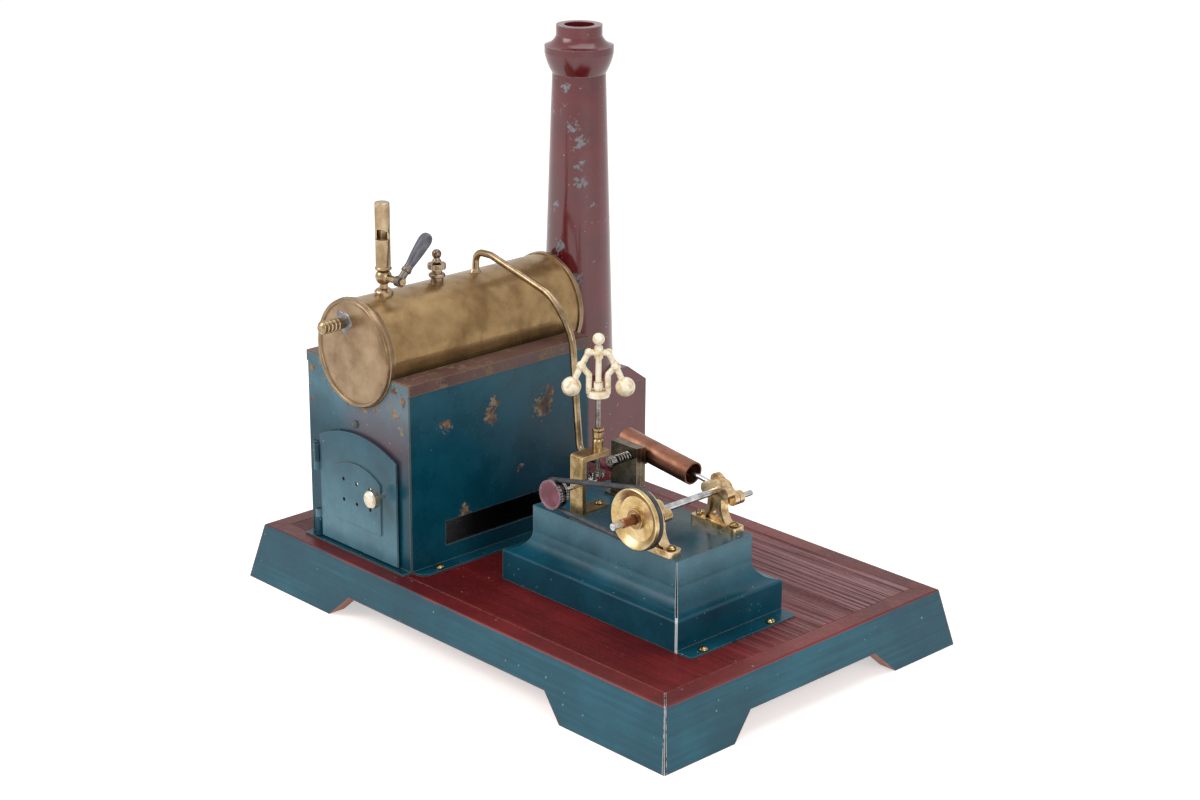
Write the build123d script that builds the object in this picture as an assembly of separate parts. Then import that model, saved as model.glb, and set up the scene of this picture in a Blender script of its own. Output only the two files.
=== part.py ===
# Toy steam plant: a spirit-fired brass boiler in a tin firebox, a chimney, and an oscillating
# engine with a belt-driven governor on a moulded tin bed, all on a splayed wooden base.
# Millimetres. Origin at the middle of the base on the table, +X along the base, -Y the door side.
import os
from math import asin, atan2, cos, degrees, hypot, pi, radians, sin, sqrt

from build123d import *

# Running and seating clearances
seat_gap = 0.05
running_gap = 0.06
side_gap = 0.3
sheet = 0.8

# Wooden base: a board let in flush between four splayed, mitred skirts with bracket feet
base_length = 260.0
base_width = 169.0
base_height = 26.0
base_splay = 5.6
board_thickness = 5.0
board_chamfer = 0.45
skirt_thickness = 8.5
skirt_edge_radius = 1.0
mitre_gap = 0.3
long_foot = 60.0
short_foot = 40.0
foot_slant = 11.5
foot_rise = 10.8

# Firebox, placed from the base's left end and front edge
firebox_end = 57.0
firebox_edge = 11.5
firebox_width = 70.0
firebox_length = 107.0
firebox_height = 87.0
front_flange = 4.5
side_flange = 7.0
slot_margin = 20.2
slot_low = 8.2
slot_height = 11.4
rail_lip = 5.0

# Fire door, hung on two pins at its left edge
door_width = 53.4
door_shift = 1.0
door_side_height = 48.6
door_rise = 6.4
door_lift = 1.4
door_thickness = 1.0
doorway_margin = 6.5
panel_margin = 10.2
panel_low = 12.2
panel_side_height = 23.6
panel_rise = 5.4
panel_depth = 0.7
vent_radius = 0.95
vent_pitch_x = 9.3
vent_pitch_z = 9.7
vent_low = 10.2
door_gap = 0.8
hinge_pin_radius = 0.8
knuckle_radius = 1.6
knuckle_height = 4.0
strap_leaf = 3.4
strap_height = 8.0
strap_thickness = 0.6
strap_drop = 5.0
knob_radius = 4.0
knob_length = 4.0
knob_stem = 4.4
knob_stem_radius = 1.1
knob_chamfer = 0.6
knob_panel_gap = 0.6
knob_height = 31.6

# Boiler
boiler_radius = 23.4
boiler_rise = 7.0
boiler_overhang = 2.6
boiler_length = 116.6
cap_depth = 5.0
cap_wall = 0.9
cap_bead = 0.5
cap_recess = 0.9
cap_recess_radius = 20.8
stud_x = -6.1
stud_z = 12.4
stud_radius = 2.6
stud_length = 13.0
stud_thread_pitch = 1.6
stud_collar_radius = 4.2
stud_collar = 1.4

# Whistle and safety valve on the boiler's crown
whistle_back = 18.8
whistle_radius = 3.1
whistle_length = 31.2
whistle_ball_radius = 3.4
whistle_base_radius = 4.2
whistle_base = 4.4
whistle_stem_radius = 2.6
whistle_collar = 1.3
whistle_collar_radius = 3.5
whistle_window_low = 12.3
whistle_window_side = 3.6
whistle_window_rise = 1.4
whistle_window_depth = 1.2
whistle_window_turn = 56.0
whistle_arm = 14.0
whistle_arm_radius = 1.6
whistle_arm_tail = 1.6
lever_tilt = 43.0
lever_ferrule = 8.0
lever_stem_radius = 1.7
lever_collar_radius = 2.3
lever_tip_radius = 2.0
lever_handle = 17.0
lever_handle_radius = 3.0
lever_handle_neck = 1.9
lever_eye_radius = 2.4
lever_eye = 3.0
valve_back = 49.1
valve_height = 16.5
valve_base = 4.2
valve_disc = 1.8
valve_disc_edge = 0.5
valve_neck = 1.4
valve_knurl = 2.8
valve_bulb = 1.9
valve_base_radius = 2.9
valve_disc_radius = 3.8
valve_neck_radius = 2.4
valve_knurl_radius = 4.1
valve_stem_radius = 1.4
valve_bulb_radius = 2.1
valve_ball_radius = 2.2
fitting_root = 2.5
ball_sink = 0.8

# Chimney and its pedestal
chimney_back = 26.0
chimney_low_radius = 17.0
chimney_high_radius = 12.4
chimney_height = 222.0
chimney_cap_height = 22.0
chimney_cap_radius = 15.9
chimney_neck_radius = 10.6
chimney_neck = 5.0
chimney_mouth_radius = 7.0
pedestal_width = 56.0
pedestal_depth = 44.2
pedestal_height = 55.0
pedestal_rise = 3.6
flue_radius = 11.0

# Engine bed, placed from the base's right end and front edge
bed_end = 84.5
bed_edge = 70.0
bed_length = 106.0
bed_width = 64.0
bed_height = 34.6
bed_plinth = 14.0
bed_neck = 11.0
bed_roll = 1.0
bed_inset = 9.4
bed_flange = 8.8

# Crankshaft and its bearings, placed from the bed's middle
shaft_ahead = 27.1
shaft_rise = 16.2
shaft_radius = 1.5
shaft_reach = 43.5
bearing_front = 19.1
bearing_back = 18.5
bearing_foot_length = 25.6
bearing_foot_width = 7.0
bearing_foot = 2.8
bearing_foot_corner = 1.6
bearing_pad = 3.4
bearing_frame = 4.2
bearing_web = 1.6
bearing_rim = 1.5
bearing_head_width = 16.0
bearing_head = 5.4
bearing_head_depth = 4.6
bearing_waist = 8.0
bearing_window_radius = 1.7
bearing_window_rise = 6.2
crank_radius = 6.3
crank_rest_angle = -34.0
crank_web = 2.6
crank_hub_radius = 3.7
crank_boss_radius = 2.9
crank_tail = 5.0

# Drive belt and its two pulleys
belt_reach = 28.3
belt_radius = 1.1
belt_gap = 0.3
belt_stand = 0.6
small_belt_stand = 0.9
pulley_radius = 13.1
pulley_front_lip = 3.2
pulley_back_lip = 2.2
pulley_dish = 1.7
pulley_rim_step = 0.4
pulley_dish_radius = 11.4
pulley_hub_radius = 4.9
pulley_bevel = 0.9
sleeve_radius = 2.4
sleeve_length = 8.5
small_pulley_radius = 6.25
governor_behind = 23.5
small_pulley_lip = 2.2
small_pulley_recess = 0.5
small_pulley_rise = 12.6
small_shaft_radius = 0.9

# Governor
yoke_reach = 15.9
yoke_depth = 16.0
yoke_width = 7.4
yoke_strip = 2.4
yoke_height = 26.4
spindle_reach = 3.3
spindle_radius = 1.0
bush_radius = 2.5
bush_height = 9.6
bush_step = 0.2
bush_waist = 0.6
bush_bevel = 0.8
crown_teeth = 12
pinion_teeth = 8
crown_pitch_radius = 2.6
crown_face = 1.05
crown_plate = 1.2
pinion_face = 1.7
tooth_addendum = 0.35
tooth_dedendum = 0.5
tooth_width = 0.36
governor_base = 24.0
governor_height = 28.0
governor_angle = 46.0
governor_ball_radius = 4.2
governor_ball_reach = 11.5
governor_knuckle_reach = 7.3
governor_knuckle_drop = 14.6
governor_ball_rise = 4.2
governor_top_ball_radius = 2.6
governor_sleeve_radius = 4.8
governor_sleeve = 6.2
governor_ring = 2.4
governor_ring_edge = 0.8
governor_stem_radius = 2.0
governor_socket = 4.2
governor_rod_radius = 1.3
governor_hub_drop = 8.6
governor_hub_half = 2.6
governor_hub_radius = 2.2
governor_neck_radius = 1.1
governor_shoulder = 4.2
governor_shoulder_radius = 1.8
governor_knuckle_radius = 2.1
governor_elbow_rise = 9.6

# Oscillating cylinder, its port face and piston
pivot_behind = 22.0
pivot_rise = 19.5
port_reach = 13.9
port_thickness = 2.4
port_width = 16.0
port_left = 11.0
port_top = 4.4
port_foot = 4.0
port_foot_thickness = 1.2
block_thickness = 2.5
block_drop = 14.0
cylinder_radius = 5.2
cylinder_wall = 0.7
cylinder_back = 13.4
cylinder_front = 28.1
cylinder_cap = 1.2
saddle_width = 12.0
saddle_depth = 3.6
saddle_low = 5.0
saddle_high = 3.0
pivot_radius = 1.2
spring_radius = 2.3
spring_wire = 0.5
spring_turns = 5
spring_length = 9.0
pivot_nut_radius = 2.3
pivot_nut = 2.8
piston_length = 8.0
piston_inset = 8.0
rod_radius = 1.1
eye_radius = 2.9
eye_thickness = 2.8
eye_shank = 3.0
pin_radius = 1.25
pin_stub = 6.5

# Steam pipe from the boiler's crown to the port face
pipe_radius = 1.6
pipe_back = 71.8
pipe_rise = 9.5
pipe_lean = 0.6
pipe_top_run = 10.0
pipe_crest = 12.5
pipe_crest_back = 2.8
pipe_crest_drop = 1.6
pipe_knee_drop = 16.0
pipe_knee_behind = 20.5
pipe_bow = 17.5
pipe_bow_rise = 23.0
pipe_tail = 15.0
pipe_bends = [4.4, 6.0, 22.0, 24.0, 60.0, 6.0]
union_radius = 2.5
union_length = 4.6
union_drop = 7.6

os.makedirs("parts", exist_ok=True)


def keep(shape, node):
    export_step(shape, f"parts/{node}.step")


def block(x0, x1, y0, y1, z0, z1):
    return Pos((x0 + x1) / 2, (y0 + y1) / 2, (z0 + z1) / 2) * Box(x1 - x0, y1 - y0, z1 - z0)


def rod(start, end, radius):
    line = Vector(*end) - Vector(*start)
    return Plane(origin=start, z_dir=line) * extrude(Circle(radius), line.length)


def prism(points, low, high, plane):
    face = make_face(Polyline(*points, close=True))
    return Plane(plane.origin, x_dir=plane.x_dir, z_dir=plane.z_dir).offset(low) * extrude(face, high - low)


def turned(points):
    # Solid of revolution about Z from (radius, height) points.
    profile = make_face(Polyline(*[(r, 0, z) for r, z in points], close=True))
    return revolve(profile, Axis.Z)


# Seen from the door side: a profile's second axis is up and its depth runs back.
front_plane = Plane((0, 0, 0), x_dir=(1, 0, 0), z_dir=(0, -1, 0))
side_plane = Plane((0, 0, 0), x_dir=(0, 1, 0), z_dir=(1, 0, 0))
along_y = Rot(-90, 0, 0)


# Wooden base
board_low = base_height - board_thickness


def half_x(z):
    return base_length / 2 + base_splay * (base_height - z) / base_height


def half_y(z):
    return base_width / 2 + base_splay * (base_height - z) / base_height


def splayed(low, high, inset):
    ends = [Plane.XY.offset(z) * Rectangle(2 * (half_x(z) - inset), 2 * (half_y(z) - inset))
            for z in (low, high)]
    return Part() + Solid.make_loft([end.face().outer_wire() for end in ends], True)


def base_board():
    board = splayed(board_low, base_height, skirt_thickness + seat_gap)
    return chamfer(board.edges().group_by(Axis.Z)[-1], board_chamfer)


def skirts():
    whole = splayed(0, base_height, 0)
    whole = fillet(whole.edges().group_by(Axis.Z)[-1], skirt_edge_radius)
    ring = whole - splayed(-sheet, base_height + sheet, skirt_thickness)
    corner = half_x(0) - half_y(0)
    reach = half_x(0) + skirt_thickness
    near, far = corner - mitre_gap, corner + mitre_gap
    front_wedge = [(-near, 0), (near, 0), (reach, near - reach), (-reach, near - reach)]
    side_wedge = [(far, 0), (reach, reach - far), (reach, far - reach)]
    front = ring & prism(front_wedge, 0, base_height, Plane.XY)
    side = ring & prism(side_wedge, 0, base_height, Plane.XY)
    foot_in = half_x(0) - long_foot
    arch = [(-foot_in, 0), (foot_in, 0), (foot_in - foot_slant, foot_rise), (foot_slant - foot_in, foot_rise)]
    front = front - prism(arch, 0, reach, front_plane)
    foot_in = half_y(0) - short_foot
    arch = [(-foot_in, 0), (foot_in, 0), (foot_in - foot_slant, foot_rise), (foot_slant - foot_in, foot_rise)]
    side = side - prism(arch, 0, reach, side_plane)
    return front, side


keep(base_board(), "base_board")
skirt_front, skirt_right = skirts()
keep(skirt_front, "skirt_front")
keep(skirt_right, "skirt_right")
keep(Rot(0, 0, 180) * skirt_front, "skirt_back")
keep(Rot(0, 0, 180) * skirt_right, "skirt_left")


# Firebox of folded sheet, open under the boiler, with a cradle in each end
firebox_x = firebox_end - base_length / 2
firebox_front = firebox_edge - base_width / 2
box_left = firebox_x - firebox_width / 2
box_right = firebox_x + firebox_width / 2
box_back = firebox_front + firebox_length
box_top = base_height + firebox_height
wall_top = box_top - sheet
boiler_z = box_top + boiler_rise
boiler_front = firebox_front - boiler_overhang
boiler_back = boiler_front + boiler_length
cap_radius = boiler_radius + seat_gap + cap_wall
cradle_radius = cap_radius + cap_bead + seat_gap
door_middle = firebox_x + door_shift
door_left = door_middle - door_width / 2
door_low = base_height + door_lift


def arched(width, side_height, rise):
    # Flat sides under a segmental top, standing on the line z = 0.
    half = width / 2
    outline = Polyline((half, side_height), (half, 0), (-half, 0), (-half, side_height))
    top = ThreePointArc((-half, side_height), (0, side_height + rise), (half, side_height))
    return make_face([*outline.edges(), *top.edges()])


def standing(face, x, z, y_front, depth):
    # A face drawn in X and Z, set at x, z and carried back from y_front.
    return Pos(x, y_front + depth, z) * (front_plane * extrude(face, depth))


def end_wall(y):
    wall = block(box_left, box_right, y, y + sheet, base_height, wall_top)
    cradle = along_y * extrude(Circle(cradle_radius), 3 * sheet, both=True)
    return wall - Pos(firebox_x, y, boiler_z) * cradle


def front_wall():
    wall = end_wall(firebox_front)
    doorway = arched(door_width - 2 * doorway_margin, door_side_height - doorway_margin, door_rise)
    wall = wall - standing(doorway, door_middle, door_low + sheet, firebox_front - sheet, 3 * sheet)
    flange = block(box_left, box_right, firebox_front - front_flange, firebox_front,
                   base_height, base_height + sheet)
    return wall + flange


def back_wall():
    wall = end_wall(box_back - sheet)
    flue = Pos(firebox_x, box_back, base_height + pedestal_height / 2)
    return wall - flue * (along_y * extrude(Circle(flue_radius), 3 * sheet, both=True))


def side_wall():
    low, high = firebox_front + sheet, box_back - sheet
    wall = block(box_right - sheet, box_right, low, high, base_height, wall_top)
    slot_z = base_height + slot_low
    wall = wall - block(box_right - 2 * sheet, box_right + sheet, firebox_front + slot_margin,
                        box_back - slot_margin, slot_z, slot_z + slot_height)
    return wall


def side_foot():
    # The right wall's foot is turned outwards, with its two free corners rounded off.
    low, high = firebox_front + sheet, box_back - sheet
    foot = block(box_right - sheet, box_right + side_flange, low, high, base_height, base_height + sheet)
    return fillet(foot.edges().filter_by(Axis.Z).sort_by(Axis.X)[-2:], side_flange * 0.8)


def right_rail():
    # Folded strip that closes the top beside the boiler and laps the wall.
    drop = boiler_z - box_top
    rail_in = sqrt((cap_radius + cap_bead) ** 2 - drop ** 2) + side_gap
    strip = block(firebox_x + rail_in, box_right + sheet + seat_gap, firebox_front, box_back,
                  wall_top, box_top)
    lip_x = box_right + seat_gap
    return strip + block(lip_x, lip_x + sheet, firebox_front, box_back, box_top - rail_lip, box_top)


def mirrored(shape):
    return mirror(shape, Plane((firebox_x, 0, 0), z_dir=(1, 0, 0)))


keep(front_wall(), "firebox_front_wall")
keep(back_wall(), "firebox_back_wall")
keep(side_wall() + side_foot(), "firebox_right_wall")
keep(mirrored(side_wall()), "firebox_left_wall")
keep(right_rail(), "firebox_right_rail")
keep(mirrored(right_rail()), "firebox_left_rail")


# Fire door with a raised vented panel, hung on pins in two straps
hinge_x = door_left - knuckle_radius - side_gap
hinge_y = firebox_front - side_gap - knuckle_radius
door_back = firebox_front - door_gap
door_face = door_back - door_thickness
strap_top = door_low + door_side_height - strap_drop
low_strap = (door_low, door_low + strap_height)
high_strap = (strap_top - strap_height, strap_top)
low_knuckle = (low_strap[1] + side_gap, low_strap[1] + side_gap + knuckle_height)
high_knuckle = (high_strap[0] - side_gap - knuckle_height, high_strap[0] - side_gap)


def upright(low, high, radius):
    return rod((hinge_x, hinge_y, low), (hinge_x, hinge_y, high), radius)


def hinge_strap(low, high):
    leaf = block(hinge_x - knuckle_radius - strap_leaf, hinge_x,
                 firebox_front - strap_thickness, firebox_front, low, high)
    bore = upright(low - sheet, high + sheet, hinge_pin_radius + running_gap)
    return leaf + upright(low, high, knuckle_radius) - bore


def fire_door():
    leaf = arched(door_width, door_side_height, door_rise)
    leaf = standing(leaf, door_middle, door_low, door_face, door_thickness)
    panel = arched(door_width - 2 * panel_margin, panel_side_height, panel_rise)
    leaf = leaf + standing(panel, door_middle, door_low + panel_low, door_face - panel_depth, panel_depth)
    hollow = offset(panel, -door_thickness)
    leaf = leaf - standing(hollow, door_middle, door_low + panel_low, door_back - panel_depth, panel_depth)
    for low, high in (low_knuckle, high_knuckle):
        leaf = leaf + block(hinge_x, door_left + sheet, door_face, door_back, low, high)
        leaf = leaf + upright(low, high, knuckle_radius)
        leaf = leaf - upright(low - sheet, high + sheet, hinge_pin_radius + seat_gap)
    for column in (-1, 0, 1):
        for row in (0, 1):
            vent_z = door_low + panel_low + vent_low + row * vent_pitch_z
            vent = Pos(door_middle + column * vent_pitch_x, door_face, vent_z)
            leaf = leaf - vent * (along_y * extrude(Circle(vent_radius), 4 * door_thickness, both=True))
    return leaf


def door_knob():
    end = knob_stem + knob_length
    face_radius = knob_radius - knob_chamfer
    profile = [(0, 0), (knob_stem_radius, 0), (knob_stem_radius, knob_stem), (face_radius, knob_stem),
               (knob_radius, knob_stem + knob_chamfer), (knob_radius, end - knob_chamfer), (face_radius, end),
               (0, end)]
    knob_x = door_left + door_width - panel_margin + knob_panel_gap + knob_stem_radius
    place = Pos(knob_x, door_face, door_low + knob_height)
    return place * (Rot(90, 0, 0) * turned(profile))


keep(Compound([hinge_strap(*low_strap), hinge_strap(*high_strap)]), "door_hinge_straps")
keep(fire_door(), "firebox_door")
pin_ends = ((low_strap[0], low_knuckle[1]), (high_knuckle[0], high_strap[1]))
keep(Compound([upright(*ends, hinge_pin_radius) for ends in pin_ends]), "door_hinge_pins")
keep(door_knob(), "door_knob")


# Boiler: a drawn tube with two beaded, recessed caps
def boiler_shell():
    length = boiler_length - 2 * (cap_wall + cap_recess)
    tube = extrude(Circle(boiler_radius) - Circle(boiler_radius - sheet), length)
    return Pos(firebox_x, boiler_front + cap_wall + cap_recess, boiler_z) * (along_y * tube)


def boiler_cap():
    # Turned about Z with its face at z = 0 and its skirt upwards.
    inner = boiler_radius + seat_gap
    face = cap_recess_radius
    back = cap_wall + cap_recess
    cap = turned([(0, cap_recess), (face, cap_recess), (face + cap_recess, 0), (cap_radius, 0),
                  (cap_radius, cap_depth), (inner, cap_depth), (inner, back), (0, back)])
    for z in (cap_bead, cap_depth - cap_bead):
        bead = Plane((cap_radius, 0, z), x_dir=(1, 0, 0), z_dir=(0, -1, 0)) * Circle(cap_bead)
        cap = cap + revolve(bead, Axis.Z)
    return cap


def boiler_stud():
    # Collar and screwed stem, with the thread as plain ridges.
    root = stud_radius - stud_thread_pitch / 4
    profile = [(0, 0), (stud_collar_radius, 0), (stud_collar_radius - stud_collar / 3, stud_collar),
               (root, stud_collar)]
    turns = int((stud_length - stud_collar) / stud_thread_pitch)
    for turn in range(turns):
        z = stud_collar + turn * stud_thread_pitch
        profile += [(root, z + stud_thread_pitch * 0.2), (stud_radius, z + stud_thread_pitch * 0.5),
                    (root, z + stud_thread_pitch * 0.8)]
    profile += [(root, stud_length), (0, stud_length)]
    face_y = boiler_front + cap_recess - seat_gap
    return Pos(firebox_x + stud_x, face_y, boiler_z + stud_z) * (Rot(90, 0, 0) * turned(profile))


cap_front = Pos(firebox_x, boiler_front, boiler_z) * (along_y * boiler_cap())
keep(boiler_shell(), "boiler_shell")
keep(cap_front, "boiler_front_cap")
keep(mirror(cap_front, Plane((0, (boiler_front + boiler_back) / 2, 0), z_dir=(0, 1, 0))), "boiler_back_cap")
keep(boiler_stud(), "boiler_stud")


# Whistle with a plug-cock lever, and the safety valve
crown_z = boiler_z + boiler_radius
saddle = along_y * extrude(Circle(boiler_radius + seat_gap), boiler_length)
saddle = Pos(firebox_x, boiler_front, boiler_z) * saddle
whistle_y = boiler_front + whistle_back
valve_y = boiler_front + valve_back
whistle_ball_z = crown_z + whistle_base + whistle_ball_radius
arm_end_x = firebox_x + whistle_arm
lever_x = arm_end_x - whistle_arm_tail - lever_eye / 2
lever_place = Pos(lever_x, whistle_y, whistle_ball_z) * Rot(-lever_tilt, 0, 0)


def whistle():
    # Foot, ball and ring carry a closed tube with one arched mouth.
    ball_z = whistle_base + whistle_ball_radius
    tube_low = ball_z + ball_sink * whistle_ball_radius
    window_z = tube_low + whistle_window_low
    body = turned([(0, -fitting_root), (whistle_base_radius, -fitting_root),
                   (whistle_base_radius, whistle_base * 0.36), (whistle_stem_radius, whistle_base * 0.6),
                   (whistle_stem_radius, ball_z), (0, ball_z)])
    body = body + Pos(0, 0, ball_z) * Sphere(whistle_ball_radius)
    body = body + Pos(0, 0, tube_low) * extrude(Circle(whistle_collar_radius), whistle_collar)
    tube = extrude(Circle(whistle_radius), whistle_length)
    tube = fillet(tube.edges().sort_by(Axis.Z)[-1], sheet / 2)
    body = body + Pos(0, 0, tube_low) * tube
    bore = extrude(Circle(whistle_radius - sheet), whistle_length - whistle_window_low - sheet)
    body = body - Pos(0, 0, window_z) * bore
    mouth = arched(2 * whistle_radius, whistle_window_side, whistle_window_rise)
    mouth = standing(mouth, 0, window_z, -2 * whistle_radius, whistle_radius + whistle_window_depth)
    body = Pos(firebox_x, whistle_y, crown_z) * (body - Rot(0, 0, 90 - whistle_window_turn) * mouth)
    arm_end = (arm_end_x, whistle_y, whistle_ball_z)
    return body + rod((firebox_x, whistle_y, whistle_ball_z), arm_end, whistle_arm_radius) - saddle


def whistle_lever():
    # Eye round the arm and a ferrule along the lever's own +Z.
    half = lever_eye / 2
    eye = rod((-half, 0, 0), (half, 0, 0), lever_eye_radius)
    stem = turned([(0, 0), (lever_stem_radius, 0), (lever_stem_radius, lever_ferrule * 0.6),
                   (lever_collar_radius, lever_ferrule * 0.66), (lever_collar_radius, lever_ferrule * 0.8),
                   (lever_tip_radius, lever_ferrule * 0.86), (lever_tip_radius, lever_ferrule),
                   (0, lever_ferrule)])
    bore = rod((-lever_eye, 0, 0), (lever_eye, 0, 0), whistle_arm_radius + running_gap)
    return lever_place * (eye + stem - bore)


def whistle_handle():
    neck = (lever_handle_neck, 0, lever_ferrule)
    end = (0, 0, lever_ferrule + lever_handle)
    widest = (lever_handle_radius, 0, lever_ferrule + lever_handle * 0.66)
    outline = Spline(neck, widest, end, tangents=[(0.12, 0, 1), (-1, 0, 0)])
    rest = Polyline(end, (0, 0, lever_ferrule), neck)
    return lever_place * revolve(make_face([*outline.edges(), *rest.edges()]), Axis.Z)


def safety_valve():
    # Seat, rounded disc, knurled nut, bulb and ball, turned as one.
    ball_z = valve_height - valve_ball_radius
    disc_top = valve_base + valve_disc
    knurl_low = disc_top + valve_neck
    knurl_high = knurl_low + valve_knurl
    bulb_high = knurl_high + valve_bulb
    flat = valve_disc_radius - valve_disc_edge
    body = turned([(0, -fitting_root), (valve_base_radius, -fitting_root), (valve_base_radius, valve_base),
                   (flat, valve_base), (valve_disc_radius, valve_base + valve_disc_edge),
                   (valve_disc_radius, disc_top - valve_disc_edge), (flat, disc_top),
                   (valve_neck_radius, disc_top), (valve_neck_radius, knurl_low),
                   (valve_knurl_radius, knurl_low), (valve_knurl_radius, knurl_high),
                   (valve_stem_radius, knurl_high), (valve_bulb_radius, knurl_high + valve_bulb * 0.35),
                   (valve_bulb_radius, knurl_high + valve_bulb * 0.65), (valve_stem_radius, bulb_high),
                   (valve_stem_radius, ball_z), (0, ball_z)])
    body = body + Pos(0, 0, ball_z) * Sphere(valve_ball_radius)
    return Pos(firebox_x, valve_y, crown_z) * body - saddle


keep(whistle(), "whistle")
keep(whistle_lever(), "whistle_lever")
keep(whistle_handle(), "whistle_handle")
keep(safety_valve(), "safety_valve")


# Chimney on a hollow tin pedestal behind the firebox
pedestal_front = box_back
pedestal_back = pedestal_front + pedestal_depth
pedestal_top = base_height + pedestal_height
chimney_y = pedestal_front + chimney_back
chimney_top = base_height + chimney_height
stack_low = pedestal_top + pedestal_rise
stack_high = chimney_top - chimney_cap_height


def pedestal_form(inset):
    plan = Rectangle(pedestal_width - 2 * inset, pedestal_depth - 2 * inset)
    middle = Pos(firebox_x, (pedestal_front + pedestal_back) / 2)
    body = middle * Pos(0, 0, base_height) * extrude(plan, pedestal_height - inset / 2)
    low = middle * Pos(0, 0, pedestal_top - inset / 2) * plan
    across = 2 * chimney_low_radius
    high = Pos(firebox_x, chimney_y, stack_low - inset) * Rectangle(across, across)
    roof = Solid.make_loft([low.face().outer_wire(), high.face().outer_wire()], True)
    return body + roof


def pedestal():
    shell = pedestal_form(0) - pedestal_form(sheet)
    shell = shell - Pos(firebox_x, chimney_y, stack_low) * Cylinder(chimney_low_radius - 2 * sheet, 6 * sheet)
    flue = Pos(firebox_x, pedestal_front, base_height + pedestal_height / 2)
    return shell - flue * (along_y * extrude(Circle(flue_radius), 3 * sheet, both=True))


def chimney_stack():
    walls = [(chimney_low_radius, stack_low), (chimney_high_radius, stack_high),
             (chimney_high_radius - sheet, stack_high), (chimney_low_radius - sheet, stack_low)]
    return Pos(firebox_x, chimney_y, 0) * turned(walls)


def chimney_cap():
    # A rounded collar under a short neck, with the flue through both.
    widest = stack_high + chimney_cap_height * 0.43
    shoulder = stack_high + chimney_cap_height * 0.57
    neck = chimney_top - chimney_neck
    swell = chimney_cap_radius - chimney_high_radius
    hollow = chimney_cap_radius - chimney_neck_radius
    start, end = (chimney_high_radius, 0, stack_high), (chimney_neck_radius, 0, neck)
    low_mid = (chimney_cap_radius - swell * 0.37, 0, stack_high * 0.52 + widest * 0.48)
    high_mid = (chimney_cap_radius - hollow * 0.6, 0, shoulder * 0.65 + neck * 0.35)
    side = Line((chimney_cap_radius, 0, widest), (chimney_cap_radius, 0, shoulder))
    lower = ThreePointArc(start, low_mid, side @ 0)
    upper = ThreePointArc(side @ 1, high_mid, end)
    rest = Polyline(end, (chimney_neck_radius, 0, chimney_top), (chimney_mouth_radius, 0, chimney_top),
                    (chimney_mouth_radius, 0, stack_high), start)
    face = make_face([*lower.edges(), *side.edges(), *upper.edges(), *rest.edges()])
    return Pos(firebox_x, chimney_y, 0) * revolve(face, Axis.Z)


keep(pedestal(), "chimney_pedestal")
keep(chimney_stack(), "chimney_stack")
keep(chimney_cap(), "chimney_cap")


# Engine bed: a hollow tin box with a hollow moulding between plinth and top
bed_x = base_length / 2 - bed_end
bed_y = bed_edge - base_width / 2
bed_top = base_height + bed_height


def moulding(length, inset):
    # The bed's section: plinth, rolled shoulder, hollow sweep and upright top, mirrored about the middle.
    half = length / 2 - inset
    neck = half - bed_inset
    high = bed_height - inset
    shoulder = bed_plinth - inset
    sweep_high = bed_height - bed_neck
    edge = half - bed_roll
    turn = 1 - sqrt(0.5)
    sweep_mid = (neck + (edge - neck) * turn, shoulder + (sweep_high - shoulder) * turn)
    roll_low = (half, shoulder - bed_roll)
    roll_mid = (half - bed_roll * turn, shoulder - bed_roll * turn)
    right = [Line((half, 0), roll_low), ThreePointArc(roll_low, roll_mid, (edge, shoulder)),
             ThreePointArc((edge, shoulder), sweep_mid, (neck, sweep_high)),
             Line((neck, sweep_high), (neck, high))]
    left = [mirror(piece, Plane.YZ) for piece in right]
    ends = [Line((neck, high), (-neck, high)), Line((-half, 0), (half, 0))]
    return make_face([*right, *left, *ends])


def bed_form(inset):
    along = front_plane.offset(-bed_width) * extrude(moulding(bed_length, inset), 2 * bed_width)
    across = side_plane.offset(-bed_length) * extrude(moulding(bed_width, inset), 2 * bed_length)
    return Pos(bed_x, bed_y, base_height) * (along & across)


def engine_bed():
    # The plinth's right end is turned out as a flange for the bed's screws.
    bed = bed_form(0) - bed_form(sheet)
    edge = bed_x + bed_length / 2
    flange = block(edge - sheet, edge + bed_flange, bed_y - bed_width / 2, bed_y + bed_width / 2,
                   base_height, base_height + sheet)
    return bed + fillet(flange.edges().filter_by(Axis.Z).sort_by(Axis.X)[-2:], bed_flange * 0.25)


keep(engine_bed(), "engine_bed")


# Crankshaft in two cast A-frame bearings, with crank, pulley and sleeve
shaft_x = bed_x + shaft_ahead
shaft_z = bed_top + shaft_rise
shaft_front = bed_y - shaft_reach
bearing_front_y = bed_y - bearing_front
bearing_back_y = bed_y + bearing_back
belt_y = bed_y - belt_reach
crank_front = bearing_back_y + bearing_head_depth / 2 + side_gap
crank_back = crank_front + crank_web
pin_x = shaft_x + crank_radius * cos(radians(crank_rest_angle))
pin_z = shaft_z + crank_radius * sin(radians(crank_rest_angle))


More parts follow.
